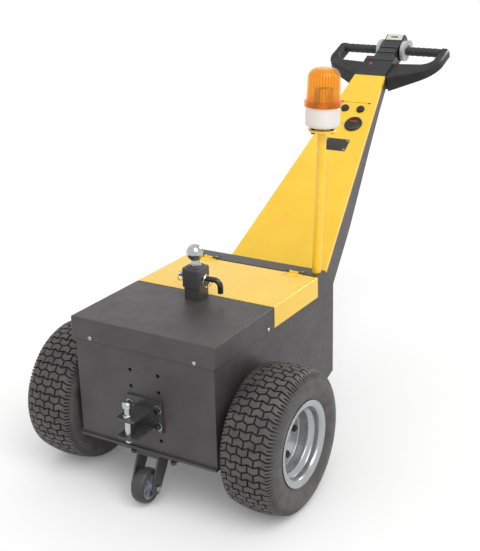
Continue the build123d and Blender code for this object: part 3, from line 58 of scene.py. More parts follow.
def node(tree, kind, inputs=(), **settings):
    """Adds a shader node with its settings and fills its inputs: a socket is linked, a value is set."""
    made = tree.nodes.new(kind)
    for name, value in settings.items():
        setattr(made, name, value)
    for key, value in dict(inputs).items():
        if isinstance(value, bpy.types.NodeSocket):
            tree.links.new(value, made.inputs[key])
        else:
            made.inputs[key].default_value = value
    return made


def new_finish(name, **sockets):
    """A material with constant sockets of its Principled shader set.
    Gives the material, its tree, its shader and its Object coordinates."""
    finish = bpy.data.materials.new(name)
    finish.use_nodes = True
    tree = finish.node_tree
    shader = tree.nodes["Principled BSDF"]
    for key, value in sockets.items():
        shader.inputs[key.replace("_", " ")].default_value = value
    spot = node(tree, "ShaderNodeTexCoord").outputs["Object"]
    return finish, tree, shader, spot


def shades(tree, fac, dark, light, low=0.35, high=0.65):
    """Colour going from one sRGB shade to another as the factor goes from low to high."""
    ramp = node(tree, "ShaderNodeValToRGB", {"Fac": fac})
    for stop, place, colour in zip(ramp.color_ramp.elements, (low, high), (dark, light)):
        stop.position = place
        stop.color = linear(colour)
    return ramp.outputs["Color"]


def noise(tree, spot, size_mm, detail=3.0):
    """Soft noise whose patches are about size_mm across."""
    texture = node(tree, "ShaderNodeTexNoise", {"Vector": spot, "Scale": 1000 / size_mm, "Detail": detail})
    return texture.outputs["Fac"]


def mottle(tree, shader, spot, dark, light, patch_mm):
    """Base colour drifting between two close shades in soft patches of the given size."""
    tree.links.new(shades(tree, noise(tree, spot, patch_mm, 4.0), dark, light), shader.inputs["Base Color"])


def grain(tree, shader, spot, grain_mm, height_mm, smooth, rough):
    """Fine bumps of the given size and height, with the roughness wandering between
    two values over 20 mm."""
    fine = noise(tree, spot, grain_mm, 2.0)
    bump = node(tree, "ShaderNodeBump", {"Height": fine, "Strength": 0.5, "Distance": height_mm / 1000})
    tree.links.new(bump.outputs["Normal"], shader.inputs["Normal"])
    span = node(tree, "ShaderNodeMapRange", {
        "Value": noise(tree, spot, 20), "From Min": 0.3, "From Max": 0.7, "To Min": smooth, "To Max": rough,
    })
    tree.links.new(span.outputs["Result"], shader.inputs["Roughness"])


def powder_coat(name, dark, light, smooth, rough, gloss=0.0):
    """Baked powder paint: two close shades, an orange peel drawn at 2.5 mm so that it
    shows, and a gloss skin."""
    finish, tree, shader, spot = new_finish(name, IOR=1.5, Coat_Weight=gloss, Coat_Roughness=0.12)
    mottle(tree, shader, spot, dark, light, patch_mm=90)
    grain(tree, shader, spot, grain_mm=2.5, height_mm=0.06, smooth=smooth, rough=rough)
    return finish


def show(name, mesh, finish, body, nodes, edge, sharp, segments=2):
    """Puts a mesh in the scene with its finish, shading and edge bevel in mm.
    The piece rides on its body, has its slot and takes the place of its CAD nodes."""
    mesh.materials.clear()
    mesh.materials.append(finish)
    mesh.polygons.foreach_set("material_index", np.zeros(len(mesh.polygons), int))
    mesh.shade_smooth()
    mesh.set_sharp_from_angle(angle=np.radians(sharp))
    piece = bpy.data.objects.new(name, mesh)
    bpy.context.collection.objects.link(piece)
    if edge:
        bevel = piece.modifiers.new("edge", "BEVEL")
        bevel.width = edge / 1000
        bevel.segments = segments
        bevel.limit_method = "ANGLE"
        bevel.angle_limit = np.radians(40)
        bevel.harden_normals = True
    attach(piece, body)
    if nodes:
        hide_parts(*nodes)


def cad_copy(name, nodes, finish, body, edge=0.0, segments=2):
    """A merged copy of CAD nodes with flat faces made whole and, where asked, its edges
    broken by edge mm."""
    shape = bmesh.new()
    for cad_node in nodes:
        shape.from_mesh(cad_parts[cad_node].data)
    bmesh.ops.remove_doubles(shape, verts=shape.verts, dist=2e-6)
    bmesh.ops.dissolve_limit(shape, angle_limit=0.01, verts=shape.verts, edges=shape.edges)
    mesh = bpy.data.meshes.new(name)
    shape.to_mesh(mesh)
    shape.free()
    show(name, mesh, finish, body, nodes, edge, 28, segments)


charcoal = powder_coat("charcoal_powder_coat", "#3B3838", "#454242", 0.40, 0.50)
cad_copy("tub", ["body_shell"], charcoal, "chassis", 0.8)
cad_copy("front_wall", ["front_plate"], charcoal, "chassis", 0.8)
cad_copy("post_channel", ["post_beam"], charcoal, "chassis")


# Front cover: one folded 2 mm sheet over the drive, held by button-head screws.
# Same charcoal powder as the tub; the screws are bright zinc with a dark socket.
def grid_faces(rows, columns):
    """Quads of a grid of points whose columns run round and close on themselves."""
    i, j = np.meshgrid(np.arange(rows - 1), np.arange(columns), indexing="ij")
    k = (j + 1) % columns
    corners = [i * columns + j, i * columns + k, (i + 1) * columns + k, (i + 1) * columns + j]
    return np.stack(corners, -1).reshape(-1, 4)


def turned(profile, centre, axis, steps=40):
    """A turned shape: each (along, radius) of the profile becomes a ring, so point (i, j) is
    centre + along_i * axis + radius_i * (cos t_j * side + sin t_j * up)."""
    along, radius = np.array(profile, float).T
    axis = np.array(axis, float) / np.linalg.norm(axis)
    side = np.cross(axis, (0.0, 0.0, 1.0) if abs(axis[2]) < 0.9 else (0.0, 1.0, 0.0))
    side /= np.linalg.norm(side)
    turn = np.linspace(0, 2 * np.pi, steps, endpoint=False)
    ring = np.cos(turn)[:, None] * side + np.sin(turn)[:, None] * np.cross(axis, side)
    points = np.array(centre, float) + along[:, None, None] * axis + radius[:, None, None] * ring
    return points.reshape(-1, 3), grid_faces(len(along), steps)


def joined(*shapes):
    """Several (points, faces) shapes as one."""
    starts = np.cumsum([0] + [len(points) for points, _ in shapes[:-1]])
    points = np.concatenate([points for points, _ in shapes])
    return points, np.concatenate([faces + start for (_, faces), start in zip(shapes, starts)])


def make_piece(name, shape, finish, body, nodes=(), edge=0.0, sharp=35, marks=None):
    """One object from points in mm and quads: doubles merged, faces outwards, edges over
    `sharp` degrees kept crisp. Marks, where given, become a float per point, `groove`."""
    points, faces = shape
    mesh = bpy.data.meshes.new(name)
    mesh.from_pydata((points / 1000).tolist(), [], faces.tolist())
    if marks is not None:
        mesh.attributes.new("groove", "FLOAT", "POINT").data.foreach_set("value", marks.astype(np.float32))
    shell = bmesh.new()
    shell.from_mesh(mesh)
    bmesh.ops.remove_doubles(shell, verts=shell.verts, dist=1e-6)
    bmesh.ops.recalc_face_normals(shell, faces=shell.faces)
    shell.to_mesh(mesh)
    shell.free()
    show(name, mesh, finish, body, nodes, edge, sharp)


def plated(name, dark, light, smooth, rough):
    """Zinc or chrome plate: a metal with faint patches and fine polishing marks drawn at 1.5 mm."""
    finish, tree, shader, spot = new_finish(name, Metallic=1.0)
    mottle(tree, shader, spot, dark, light, patch_mm=12)
    grain(tree, shader, spot, grain_mm=1.5, height_mm=0.02, smooth=smooth, rough=rough)
    return finish


def box_of(cad_node):
    """Lowest and highest corner of a CAD node, in mm."""
    low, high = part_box(cad_node)
    return np.array(low) * 1000, np.array(high) * 1000


AXLE = sum(box_of("tyre_right")) / 2
COVER_LOW, COVER_HIGH = box_of("front_cover")
SCREW_X = 168
SCREW_RISE = 6
SIDE_SCREW_REACH = 108
SCREW_Z = COVER_LOW[2] + SCREW_RISE
SIDE_SCREW_Y = AXLE[1] + SIDE_SCREW_REACH
BUTTON_HEAD = ((0, 0), (0, 6), (1.0, 6), (2.6, 4.8), (3.3, 3.4), (3.3, 2.6), (0.8, 2.4), (0.8, 0))

zinc = plated("bright_zinc_plate", "#A6AAAB", "#C0C4C5", 0.16, 0.28)
cad_copy("cover", ["front_cover"], charcoal, "chassis", 0.5)
cover_screws = joined(
    turned(BUTTON_HEAD, (-SCREW_X, COVER_LOW[1], SCREW_Z), (0, -1, 0), 20),
    turned(BUTTON_HEAD, (SCREW_X, COVER_LOW[1], SCREW_Z), (0, -1, 0), 20),
    turned(BUTTON_HEAD, (COVER_HIGH[0], SIDE_SCREW_Y, SCREW_Z), (1, 0, 0), 20),
    turned(BUTTON_HEAD, (COVER_LOW[0], SIDE_SCREW_Y, SCREW_Z), (-1, 0, 0), 20),
)
make_piece("cover_screws", cover_screws, zinc, "chassis")


# Battery lid: folded sheet sprayed with gloss yellow powder, on two leaf hinges.
# The leaves are steel strip rolled round a pin and sprayed with the sheet they
# sit on, each held by two small zinc plated countersunk screws.
FOLD_R = 1.0
LEAF_HALF = 30
LEAF_T = 1.6
LEAF_SCREW_GAP = 19
LID_SCREW_INSET = 22
STRIP_SCREW_INSET = 10
_, HINGE_HIGH = box_of("lid_hinges")
HINGE_X = HINGE_HIGH[0] - LEAF_HALF
LID_SCREW_Y = box_of("battery_lid")[1][1] - LID_SCREW_INSET
STRIP_SCREW_Y = HINGE_HIGH[1] - STRIP_SCREW_INSET
LEAF_TOP = COVER_HIGH[2] + LEAF_T
FLAT_HEAD = ((-0.8, 0), (-0.8, 3.8), (0.2, 3.8), (0.4, 3.3), (0.4, 1.5), (-0.5, 1.3), (-0.5, 0))

yellow = powder_coat("yellow_powder_coat", "#FBC923", "#FED02B", 0.26, 0.36, 0.35)
cad_copy("lid", ["battery_lid"], yellow, "lid", FOLD_R, 3)
cad_copy("hinge_leaves", ["lid_hinges"], charcoal, "chassis")
for body, screw_y in (("lid", LID_SCREW_Y), ("chassis", STRIP_SCREW_Y)):
    screw_places = [
        (hinge_x + gap, screw_y, LEAF_TOP)
        for hinge_x in (-HINGE_X, HINGE_X) for gap in (-LEAF_SCREW_GAP, LEAF_SCREW_GAP)
    ]
    heads = [turned(FLAT_HEAD, place, (0, 0, 1), 16) for place in screw_places]
    make_piece("hinge_screws_" + body, joined(*heads), zinc, body)


# Batteries, drive axle and motor inside the tub.
# Two moulded polypropylene cases with lead posts and screwed cell caps, a bare steel
# gear case with its axle tubes and stub shafts, and an enamelled motor.
def moulded(name, dark, light, smooth, rough, grain_mm=1.2, gloss=0.5):
    """Moulded plastic: two close shades and a fine spark-eroded grain."""
    finish, tree, shader, spot = new_finish(name, IOR=1.46, Specular_IOR_Level=gloss)
    mottle(tree, shader, spot, dark, light, patch_mm=60)
    grain(tree, shader, spot, grain_mm, height_mm=0.04, smooth=smooth, rough=rough)
    return finish


BATTERY_LOW, BATTERY_HIGH = box_of("batteries")
BATTERY_X = 96
POST_GAP = 55
POST_INSET = 38
CAP_INSET = 100
CAP_SPREAD = 60
CAPS = 6
POST = ((0, 0), (0, 9), (3, 8.6), (16, 7.6), (17, 6.6), (17, 0))
CELL_CAP = ((0, 0), (0, 8.5), (3.4, 8.5), (4.6, 7.6), (5, 6), (5, 2.4), (4, 2), (4, 0))

battery_plastic = moulded("polypropylene_case", "#1B1B1D", "#242426", 0.45, 0.6)
cap_plastic = moulded("cell_cap_plastic", "#6B6C6E", "#78797B", 0.4, 0.55)
motor_enamel = powder_coat("black_enamel", "#1D1D1E", "#262627", 0.3, 0.45)
bare_steel = plated("machined_steel", "#83848A", "#9C9DA2", 0.3, 0.45)
lead = plated("cast_lead", "#8C8D90", "#A9AAAD", 0.45, 0.6)
cad_copy("battery_cases", ["batteries"], battery_plastic, "chassis", 4.0, 3)
cad_copy("axle_and_case", ["drive_axle"], bare_steel, "chassis", 1.0)
cad_copy("motor", ["drive_motor"], motor_enamel, "chassis", 3.0)
posts = [
    turned(POST, (battery_x + gap, BATTERY_LOW[1] + POST_INSET, BATTERY_HIGH[2]), (0, 0, 1), 24)
    for battery_x in (-BATTERY_X, BATTERY_X) for gap in (-POST_GAP, POST_GAP)
]
make_piece("battery_posts", joined(*posts), lead, "chassis")
caps = [
    turned(CELL_CAP, (battery_x + gap, BATTERY_LOW[1] + CAP_INSET, BATTERY_HIGH[2]), (0, 0, 1), 20)
    for battery_x in (-BATTERY_X, BATTERY_X) for gap in np.linspace(-CAP_SPREAD, CAP_SPREAD, CAPS)
]
make_piece("battery_cell_caps", joined(*caps), cap_plastic, "chassis")


# Ball hitch: a square tube post through the cover with a stepped collar pinned on it.
# Post and collar are black stoved paint over steel; the ball is turned and chromed,
# the locking pin a bent bar with a plated tip and washer, each with a wire ring.
def tube(path, radius, steps=14, closed=False):
    """A round bar: rings of the given radius carried along a flat path, square to it at every point."""
    path = np.array(path, float)
    if closed:
        ahead, behind = np.roll(path, -1, 0), np.roll(path, 1, 0)
    else:
        ahead, behind = np.vstack([path[1:], path[-1:]]), np.vstack([path[:1], path[:-1]])
    along = (ahead - behind) / np.linalg.norm(ahead - behind, axis=1)[:, None]
    flat = np.cross(path[1] - path[0], path[-2] - path[0])
    flat = flat / np.linalg.norm(flat)
    turn = np.linspace(0, 2 * np.pi, steps, endpoint=False)[:, None]
    points = path[:, None] + radius * (np.cos(turn) * flat + np.sin(turn) * np.cross(along, flat)[:, None])
    if closed:
        points = np.vstack([points, points[:1]])
    else:
        ends = np.repeat(path[[0, -1], None], steps, 1)
        points = np.concatenate([ends[:1], points, ends[1:]])
    return points.reshape(-1, 3), grid_faces(len(points), steps)


def ring_path(centre, radius, side, up, steps=36):
    """Points round a circle: centre + radius * (cos t * side + sin t * up)."""
    turn = np.linspace(0, 2 * np.pi, steps, endpoint=False)[:, None]
    return np.array(centre) + radius * (np.cos(turn) * np.array(side) + np.sin(turn) * np.array(up))


POST_X, POST_Y, _ = sum(box_of("ball_post")) / 2
_, COLLAR_HIGH = box_of("ball_collar")
BALL_LOW, BALL_HIGH = box_of("hitch_ball")
BALL_R = 23.8
BALL_Z = BALL_HIGH[2] - BALL_R
BALL_NECK_R = 12.5
BALL_FOOT = ((0, 0), (0, 14.9), (0.6, 15.5), (3.4, 15.5), (4, 14.9), (5, 13.2), (7, 12.5))
PIN_LOW, PIN_HIGH = box_of("collar_pin")
PIN_R = 8.0
PIN_BEND = 18.0
PIN_Z = PIN_HIGH[2] - PIN_R
TIP_REACH = 10
TIP_LAP = 3
TIP_X = PIN_LOW[0] - TIP_REACH
PIN_TIP = ((0, 0), (0, 4.6), (2, 6.6), (5, 6.6), (5.6, 5.4), (8.4, 5.4), (9, 6.6), (15, 6.6), (15, 0))
PIN_WASHER = ((0, 8), (0, 10.5), (1, 11.2), (3.4, 11.2), (4.4, 10.2), (5.4, 9.6), (7, 9.2), (7, 8))
RING_WIRE = 1.1
# centre, radius, direction across
RINGS = (
    ((TIP_X + 7, POST_Y, PIN_Z - 7), 12.0, (0.2, 0.98, 0)),
    ((COLLAR_HIGH[0] + 10, POST_Y - 1, PIN_Z - 8.5), 16.5, (0.3, 0.954, 0)),
)

black_stove = powder_coat("black_stoved_paint", "#3A393A", "#434243", 0.28, 0.40)
chrome = plated("polished_chrome", "#AEAFB1", "#C0C1C3", 0.04, 0.10)
gloss_black = powder_coat("black_gloss_enamel", "#1A1A1B", "#232324", 0.10, 0.18)
cad_copy("ball_post_tube", ["ball_post"], black_stove, "chassis", 0.8)
cad_copy("ball_collar_tube", ["ball_collar"], black_stove, "chassis", 0.6)

angles = np.linspace(np.pi - np.arcsin(BALL_NECK_R / BALL_R), 0, 32)
globe = np.stack([BALL_Z + BALL_R * np.cos(angles), BALL_R * np.sin(angles)], 1)
shank = np.array(BALL_FOOT) + (BALL_LOW[2], 0)
ball = turned(np.vstack([shank, globe]), (POST_X, POST_Y, 0), (0, 0, 1), 64)
make_piece("ball", ball, chrome, "chassis", ["hitch_ball"])

quarter = np.linspace(0, np.pi / 2, 12)
arm_x = PIN_HIGH[0] - PIN_R
bend = np.stack([
    arm_x - PIN_BEND + PIN_BEND * np.sin(quarter),
    np.full(len(quarter), POST_Y),
    PIN_Z - PIN_BEND + PIN_BEND * np.cos(quarter),
], 1)
pin_path = np.vstack([(PIN_LOW[0] + TIP_LAP, POST_Y, PIN_Z), bend, (arm_x, POST_Y, PIN_LOW[2])])
pin_bar = tube(pin_path, PIN_R, 24)
make_piece("locking_pin", pin_bar, gloss_black, "chassis", ["collar_pin"], 0.8)
pin_ends = joined(
    turned(PIN_TIP, (TIP_X, POST_Y, PIN_Z), (1, 0, 0), 24),
    turned(PIN_WASHER, (COLLAR_HIGH[0], POST_Y, PIN_Z), (1, 0, 0), 28),
    *[tube(ring_path(*ring, (0, 0, 1)), RING_WIRE, 10, True) for ring in RINGS],
)
make_piece("pin_tip_and_rings", pin_ends, zinc, "chassis")


# Pin hitch: a plate with two welded tongues, bolted through the front plate.
# Black painted steel, with gloss black bolts on bright zinc washers; the tow pin is
# turned from bar, with a collar that rests on the upper tongue, and zinc plated.
TOW_LOW, TOW_HIGH = box_of("tow_pin")
TOW_X, TOW_Y, _ = (TOW_LOW + TOW_HIGH) / 2
TOW_PIN = (
    (0, 0), (0, 5.5), (0.6, 6.2), (3, 9), (75, 9), (75, 12.4), (75.6, 13), (82.4, 13), (83, 12.4),
    (83, 8), (103.4, 8), (104, 8.6), (104, 12.4), (104.6, 13), (116.6, 13), (117.4, 12.4), (119.6, 8.4),
    (120.7, 4.4), (121, 0),
)
BOLTS_LOW, BOLTS_HIGH = box_of("bracket_bolts")
BOLT_MIDDLE = (BOLTS_LOW + BOLTS_HIGH) / 2
WASHER_R = 13
HEAD_H = 9.5
BOLT_X, BOLT_Z = (BOLTS_HIGH - BOLTS_LOW)[[0, 2]] / 2 - WASHER_R
SEAT_Y = BOLTS_LOW[1] + HEAD_H
WASHER = (
    (0, 6), (0, 12.7), (0.3, WASHER_R), (2.2, WASHER_R), (2.5, 12.7), (2.5, 9.4), (2.1, 9.2), (2.1, 6),
)
BOLT = (
    (-26, 0), (-26, 5.4), (2, 5.4), (2.4, 9.3), (2.4, 10), (8.6, 10), (HEAD_H, 8.6), (HEAD_H, 4.6),
    (6.5, 4.4), (6.5, 0),
)

bracket_paint = powder_coat("black_bracket_paint", "#3A3A3B", "#434344", 0.20, 0.30)
cad_copy("hitch_plate", ["hitch_bracket"], bracket_paint, "chassis", 1.0)
bolt_seats = [(x, SEAT_Y, BOLT_MIDDLE[2] + z) for x in (-BOLT_X, BOLT_X) for z in (-BOLT_Z, BOLT_Z)]
hitch_bolts = joined(*[turned(BOLT, seat, (0, -1, 0), 6) for seat in bolt_seats])
make_piece("hitch_bolts", hitch_bolts, gloss_black, "chassis", ["bracket_bolts"], sharp=25)
washers = joined(*[turned(WASHER, seat, (0, -1, 0), 36) for seat in bolt_seats])
make_piece("hitch_washers", washers, zinc, "chassis")
tow_pin = turned(TOW_PIN, (TOW_X, TOW_Y, TOW_LOW[2]), (0, 0, 1), 48)
make_piece("tow_pin_turned", tow_pin, zinc, "tow_pin_body", ["tow_pin"])


# Neck: a tapered box of charcoal sheet with a folded yellow panel screwed over it.
# The panel carries a sealed battery gauge, a chromed key switch, two rubber plugs and
# a blank plate of dark plastic; the screws in its lips are zinc plated.
def placed(shape, origin, slope):
    """A shape drawn in (across, along, up) moved to a plane that rises along y at the given slope."""
    points, faces = shape
    rise = np.radians(slope)
    axes = np.array([(1, 0, 0), (0, np.cos(rise), np.sin(rise)), (0, -np.sin(rise), np.cos(rise))])
    return np.array(origin) + points @ axes, faces


def pad(centre, half, corner, steps, per_corner=5):
    """A flat pad with round corners: a ring of a rounded rectangle for each (height, inset),
    the last one shut."""
    turn = np.linspace(0, np.pi / 2, per_corner)
    quarters = np.pi / 2 * np.arange(4)[:, None] + turn
    arcs = np.stack([np.cos(quarters), np.sin(quarters)], -1).reshape(-1, 2)
    corners = np.repeat(np.array([(1, 1), (-1, 1), (-1, -1), (1, -1)]), per_corner, 0)
    rings = []
    for height, inset in steps:
        round_r = max(corner - inset, 0.05)
        reach = np.array(half) - inset - round_r
        outline = corners * reach + round_r * arcs
        rings.append(np.column_stack([outline + centre, np.full(len(outline), height)]))
    rings.append(np.repeat([(*centre, steps[-1][0])], 4 * per_corner, 0))
    return np.concatenate(rings), grid_faces(len(rings), 4 * per_corner)


NECK_TOP = (0, AXLE[1] + 1242.4, 948.6)
NECK_SLOPE = 35.63
NECK_TOP_HALF = 55.9
NECK_FLARE = 0.13648
GAUGE_AT = (28, -232)
GAUGE_BEZEL = ((0, 31), (3.4, 31), (5.0, 30), (6, 28), (5.8, 26.6), (4.2, 25.2), (3.8, 24.6), (3.8, 0))
LIGHT_ROW = -221
LIGHT_SPAN = (-13, 11)
LIGHTS = 9
LIGHT_HALF = (1.1, 2.8)
KEY_AT = (-45, -232)
KEY_SLOT_HALF = (1.1, 3.8)
KEY_BARREL = ((0, 11), (2.8, 11), (3.8, 9.8), (4.4, 8), (5, 7.4), (5, 5.8), (4.2, 5.4), (4.2, 0))
PANEL_SCREW = (-12.6, -232.4, 0.6)
PLUG_AT = (29, -164.5)
PLUG = ((0, 14), (4.5, 14), (7.2, 12.8), (8.6, 10), (9, 6), (9, 0))
BLANK_AT = (0, -327.5)
BLANK_HALF = (44, 25.5)
BLANK_T = 2
BLANK_SCREWS = (38, 19.5)
SEAM_S = -133
SEAM_HALF = (50, 0.5)
LIP_SCREWS = (-42, -300, -600)
LIP_SCREW_DEPTH = 7
LIP_SCREW_SUNK = 0.2


def on_panel(name, shape, finish, nodes=()):
    """One piece of the panel, drawn flat and moved to the neck's slope."""
    make_piece(name, placed(shape, NECK_TOP, NECK_SLOPE), finish, "chassis", nodes)


gauge_black = moulded("gauge_bezel_plastic", "#131314", "#1B1B1D", 0.18, 0.3)
gauge_red = moulded("indicator_red_plastic", "#C0201A", "#D82C22", 0.15, 0.25)
plate_black = moulded("plate_plastic", "#2A2727", "#332F2F", 0.35, 0.5)
rubber = moulded("plug_rubber", "#191818", "#232222", 0.5, 0.68, 0.8)
cad_copy("neck_box", ["neck_shell"], charcoal, "chassis", 1.0)
cad_copy("panel", ["neck_panel"], yellow, "chassis", FOLD_R, 3)

bezel = turned(GAUGE_BEZEL, (*GAUGE_AT, 0), (0, 0, 1), 56)
on_panel("gauge_bezel", bezel, gauge_black, ["gauge"])
lights = joined(*[
    pad((x, LIGHT_ROW), LIGHT_HALF, 0.6, ((3.7, 0), (4.2, 0), (4.4, 0.3)), 3)
    for x in GAUGE_AT[0] + np.linspace(*LIGHT_SPAN, LIGHTS)
])
on_panel("gauge_lights", lights, gauge_red)

key = turned(KEY_BARREL, (*KEY_AT, 0), (0, 0, 1), 40)
on_panel("key_barrel", key, chrome, ["key_switch"])
# a thin dark pad on the barrel's face: painted shade standing for the inside of the key slot
key_slot_shade = pad(KEY_AT, KEY_SLOT_HALF, 0.6, ((4.1, 0), (4.4, 0)), 3)
on_panel("key_slot_shade", key_slot_shade, gauge_black)

plugs = joined(*[turned(PLUG, (side * PLUG_AT[0], PLUG_AT[1], 0), (0, 0, 1), 40) for side in (-1, 1)])
on_panel("panel_plugs", plugs, rubber, ["panel_caps"])
blank = pad(BLANK_AT, BLANK_HALF, 4, ((0, 0), (1.4, 0), (1.8, 0.3), (BLANK_T, 0.8)))
on_panel("blank_plate", blank, plate_black, ["panel_plate"])
seam_line = pad((0, SEAM_S), SEAM_HALF, 0.4, ((-0.5, 0), (0.2, 0), (0.3, 0.2)), 3)
seam_ends = [turned(FLAT_HEAD, (side * SEAM_HALF[0], SEAM_S, 0.2), (0, 0, 1), 16) for side in (-1, 1)]
on_panel("panel_seam", joined(seam_line, *seam_ends), rubber)

screws = [turned(FLAT_HEAD, PANEL_SCREW, (0, 0, 1), 16)]
for x in (-BLANK_SCREWS[0], BLANK_SCREWS[0]):
    for s in (-BLANK_SCREWS[1], BLANK_SCREWS[1]):
        screws.append(turned(FLAT_HEAD, (x, BLANK_AT[1] + s, BLANK_T), (0, 0, 1), 16))
for s in LIP_SCREWS:
    for side in (-1, 1):
        lip_x = side * (NECK_TOP_HALF - NECK_FLARE * s - LIP_SCREW_SUNK)
        screws.append(turned(FLAT_HEAD, (lip_x, s, -LIP_SCREW_DEPTH), (side, NECK_FLARE, 0), 16))
on_panel("panel_screws", joined(*screws), zinc)


# Handle: arms, cowl and bars moulded in glass filled nylon round two hand windows, with
# rubber sleeves pushed on the bars. The control head is gloss black ABS, with a cream
# plate, grey throttle discs and a red stop pad that meets the driver.
HANDLE_AT = (0, AXLE[1] + 1250, 930)
HANDLE_SLOPE = 21
GRIP_AXIS = (205, 2)
GRIP_R = 16
GRIP_BAR_R = 11
GRIP_SPAN = (56, 181)
FINGER = 21
FINGER_DEPTH = 1.1
END_LONG = 3
END_DROP = 1.5
HEAD_PLATE_LINE = ((216, 33), (250, 42))
HEAD_PLATE_T = 3
SLOT_Q = 234
SLOT_HALF = (14, 3)
SLOT_ROUND = 2.8
SLOT_STEPS = ((HEAD_PLATE_T - 0.4, 0), (HEAD_PLATE_T + 0.2, 0), (HEAD_PLATE_T + 0.3, 0.3))
LAMP_AT = (-23.3, 63.8, 26.8)
LAMP_TILT = -0.13
LAMP_DOME = ((-1, 5.5), (0.6, 5.5), (1.6, 4.6), (2.4, 3), (2.7, 0))


def on_handle(name, shape, finish, nodes=()):
    """One piece of the handle, drawn flat and moved to the handle's slope."""
    make_piece(name, placed(shape, HANDLE_AT, HANDLE_SLOPE), finish, "chassis", nodes)


nylon = moulded("black_glass_filled_nylon", "#262526", "#302F30", 0.46, 0.6, 1.6, 0.25)
head_abs = moulded("black_gloss_abs", "#1D1D1F", "#262628", 0.16, 0.24, 2.0)
grip_rubber = moulded("grip_rubber", "#2A292A", "#343334", 0.5, 0.66, 0.7)
throttle_grey = moulded("grey_acetal", "#B4B5B6", "#C3C4C4", 0.35, 0.48)
cream = moulded("cream_plastic", "#D6D1C4", "#E0DCD0", 0.32, 0.45)
stop_red = moulded("stop_pad_red", "#B5231C", "#C62C23", 0.3, 0.42)
cad_copy("arms", ["handle_frame"], nylon, "chassis", 1.2)
cad_copy("control_head", ["head_housing"], head_abs, "chassis", 0.8)
cad_copy("throttle_discs", ["throttles"], throttle_grey, "chassis", 1.0)
cad_copy("head_cap", ["head_plate"], cream, "chassis", 0.8)
cad_copy("stop_pad", ["stop_button"], stop_red, "chassis", 1.0)

across = np.linspace(*GRIP_SPAN, 61)
wave = GRIP_R - FINGER_DEPTH * (0.5 - 0.5 * np.cos(2 * np.pi * (across - GRIP_SPAN[0]) / FINGER))
inward = np.minimum(across - GRIP_SPAN[0], GRIP_SPAN[1] - across)
rounded_end = GRIP_R - END_DROP + END_DROP * np.sqrt(np.clip(1 - (1 - inward / END_LONG) ** 2, 0, 1))
sleeve = np.stack([across, np.where(inward < END_LONG, rounded_end, wave)], 1)
sleeve = np.vstack([(GRIP_SPAN[0], GRIP_BAR_R), sleeve, (GRIP_SPAN[1], GRIP_BAR_R)])
grips = joined(*[turned(sleeve, (0, *GRIP_AXIS), (side, 0, 0), 32) for side in (-1, 1)])
on_handle("grip_sleeves", grips, grip_rubber, ["grips"])

(q0, h0), (q1, h1) = HEAD_PLATE_LINE
tilt = np.degrees(np.arctan2(h1 - h0, q1 - q0))
slot_h = h0 + (h1 - h0) / (q1 - q0) * (SLOT_Q - q0)
# a thin dark pad on the cream plate: painted shade standing for the inside of its slot
head_slot_shade = placed(pad((0, 0), SLOT_HALF, SLOT_ROUND, SLOT_STEPS), (0, SLOT_Q, slot_h), tilt)
on_handle("head_slot_shade", head_slot_shade, gauge_black)
head_lamp = turned(LAMP_DOME, LAMP_AT, (0, LAMP_TILT, 1), 24)
on_handle("head_lamp", head_lamp, gauge_red)


# Warning beacon: a yellow powder coated tube and flange, leaning a little, with a
# white moulded cup on rubber feet and an amber acrylic lens, fluted inside to spread
# the light of a bulb behind its turning mirror.
def maths(tree, operation, a, b=0.0, c=0.0):
    """One step of arithmetic on shader values."""
    return node(tree, "ShaderNodeMath", {0: a, 1: b, 2: c}, operation=operation).outputs[0]


def clear_plastic(name, thin, thick, dark, light, scattered):
    """Dyed acrylic: light goes straight through and is tinted, more deeply where the groove
    attribute marks a thick wall; a share is scattered in the dye; the outer skin shines by
    Fresnel's law."""
    finish, tree, shader, spot = new_finish(name, IOR=1.49)
    mottle(tree, shader, spot, dark, light, patch_mm=20)
    grain(tree, shader, spot, grain_mm=6, height_mm=0.02, smooth=0.05, rough=0.12)
    wall = node(tree, "ShaderNodeAttribute", attribute_name="groove").outputs["Fac"]
    tint = node(tree, "ShaderNodeMix", {0: wall, 6: linear(thin), 7: linear(thick)}, data_type="RGBA")
    clear = node(tree, "ShaderNodeBsdfTransparent", {"Color": tint.outputs[2]})
    dyed = node(tree, "ShaderNodeMixShader", {0: scattered, 1: clear.outputs[0], 2: shader.outputs[0]})
    outside = maths(tree, "SUBTRACT", 1.0, node(tree, "ShaderNodeNewGeometry").outputs["Backfacing"])
    shine = maths(tree, "MULTIPLY", node(tree, "ShaderNodeFresnel", {"IOR": 1.36}).outputs[0], outside)
    skin = node(tree, "ShaderNodeBsdfAnisotropic", {"Roughness": 0.05})
    whole = node(tree, "ShaderNodeMixShader", {0: shine, 1: dyed.outputs[0], 2: skin.outputs[0]})
    tree.links.new(whole.outputs[0], tree.nodes["Material Output"].inputs["Surface"])
    return finish


BEACON_FOOT = np.array((204.5, AXLE[1] + 441, 510))
BEACON_LEAN = (0.034, 0.015, 1)
POST_H = 424
FLANGE_H = POST_H + 6
CUP_H = FLANGE_H + 6.5
LENS_H = CUP_H + 58.5
FOOT_CIRCLE_R = 30
FLUTES = 32
FLUTE_DEPTH = 1.2
FLUTE_LOW = 18
FLUTE_IN = 20
LENS_STEPS = FLUTES * 6
TUBE = ((0, 11.4), (0, 13.4), (POST_H, 13.4))
FLANGE = ((POST_H, 13), (POST_H, 39), (POST_H + 1, 40), (POST_H + 5, 40), (FLANGE_H, 39), (FLANGE_H, 0))
FOOT_PAD = ((FLANGE_H, 0), (FLANGE_H, 6), (CUP_H + 1, 6), (CUP_H + 1, 0))
HEX = ((POST_H, 0), (POST_H, 6.5), (POST_H - 4.2, 6.5), (POST_H - 5, 5.6), (POST_H - 5, 0))
CUP_R = 49
CUP_ROUND = 11
CUP = (
    (53, CUP_R), (53.6, 48.4), (55, 48.4), (55.6, CUP_R), (58.5, CUP_R), (58.5, 40), (4, 40), (4, 0),
)
LENS_BORE = (0, 43.5)
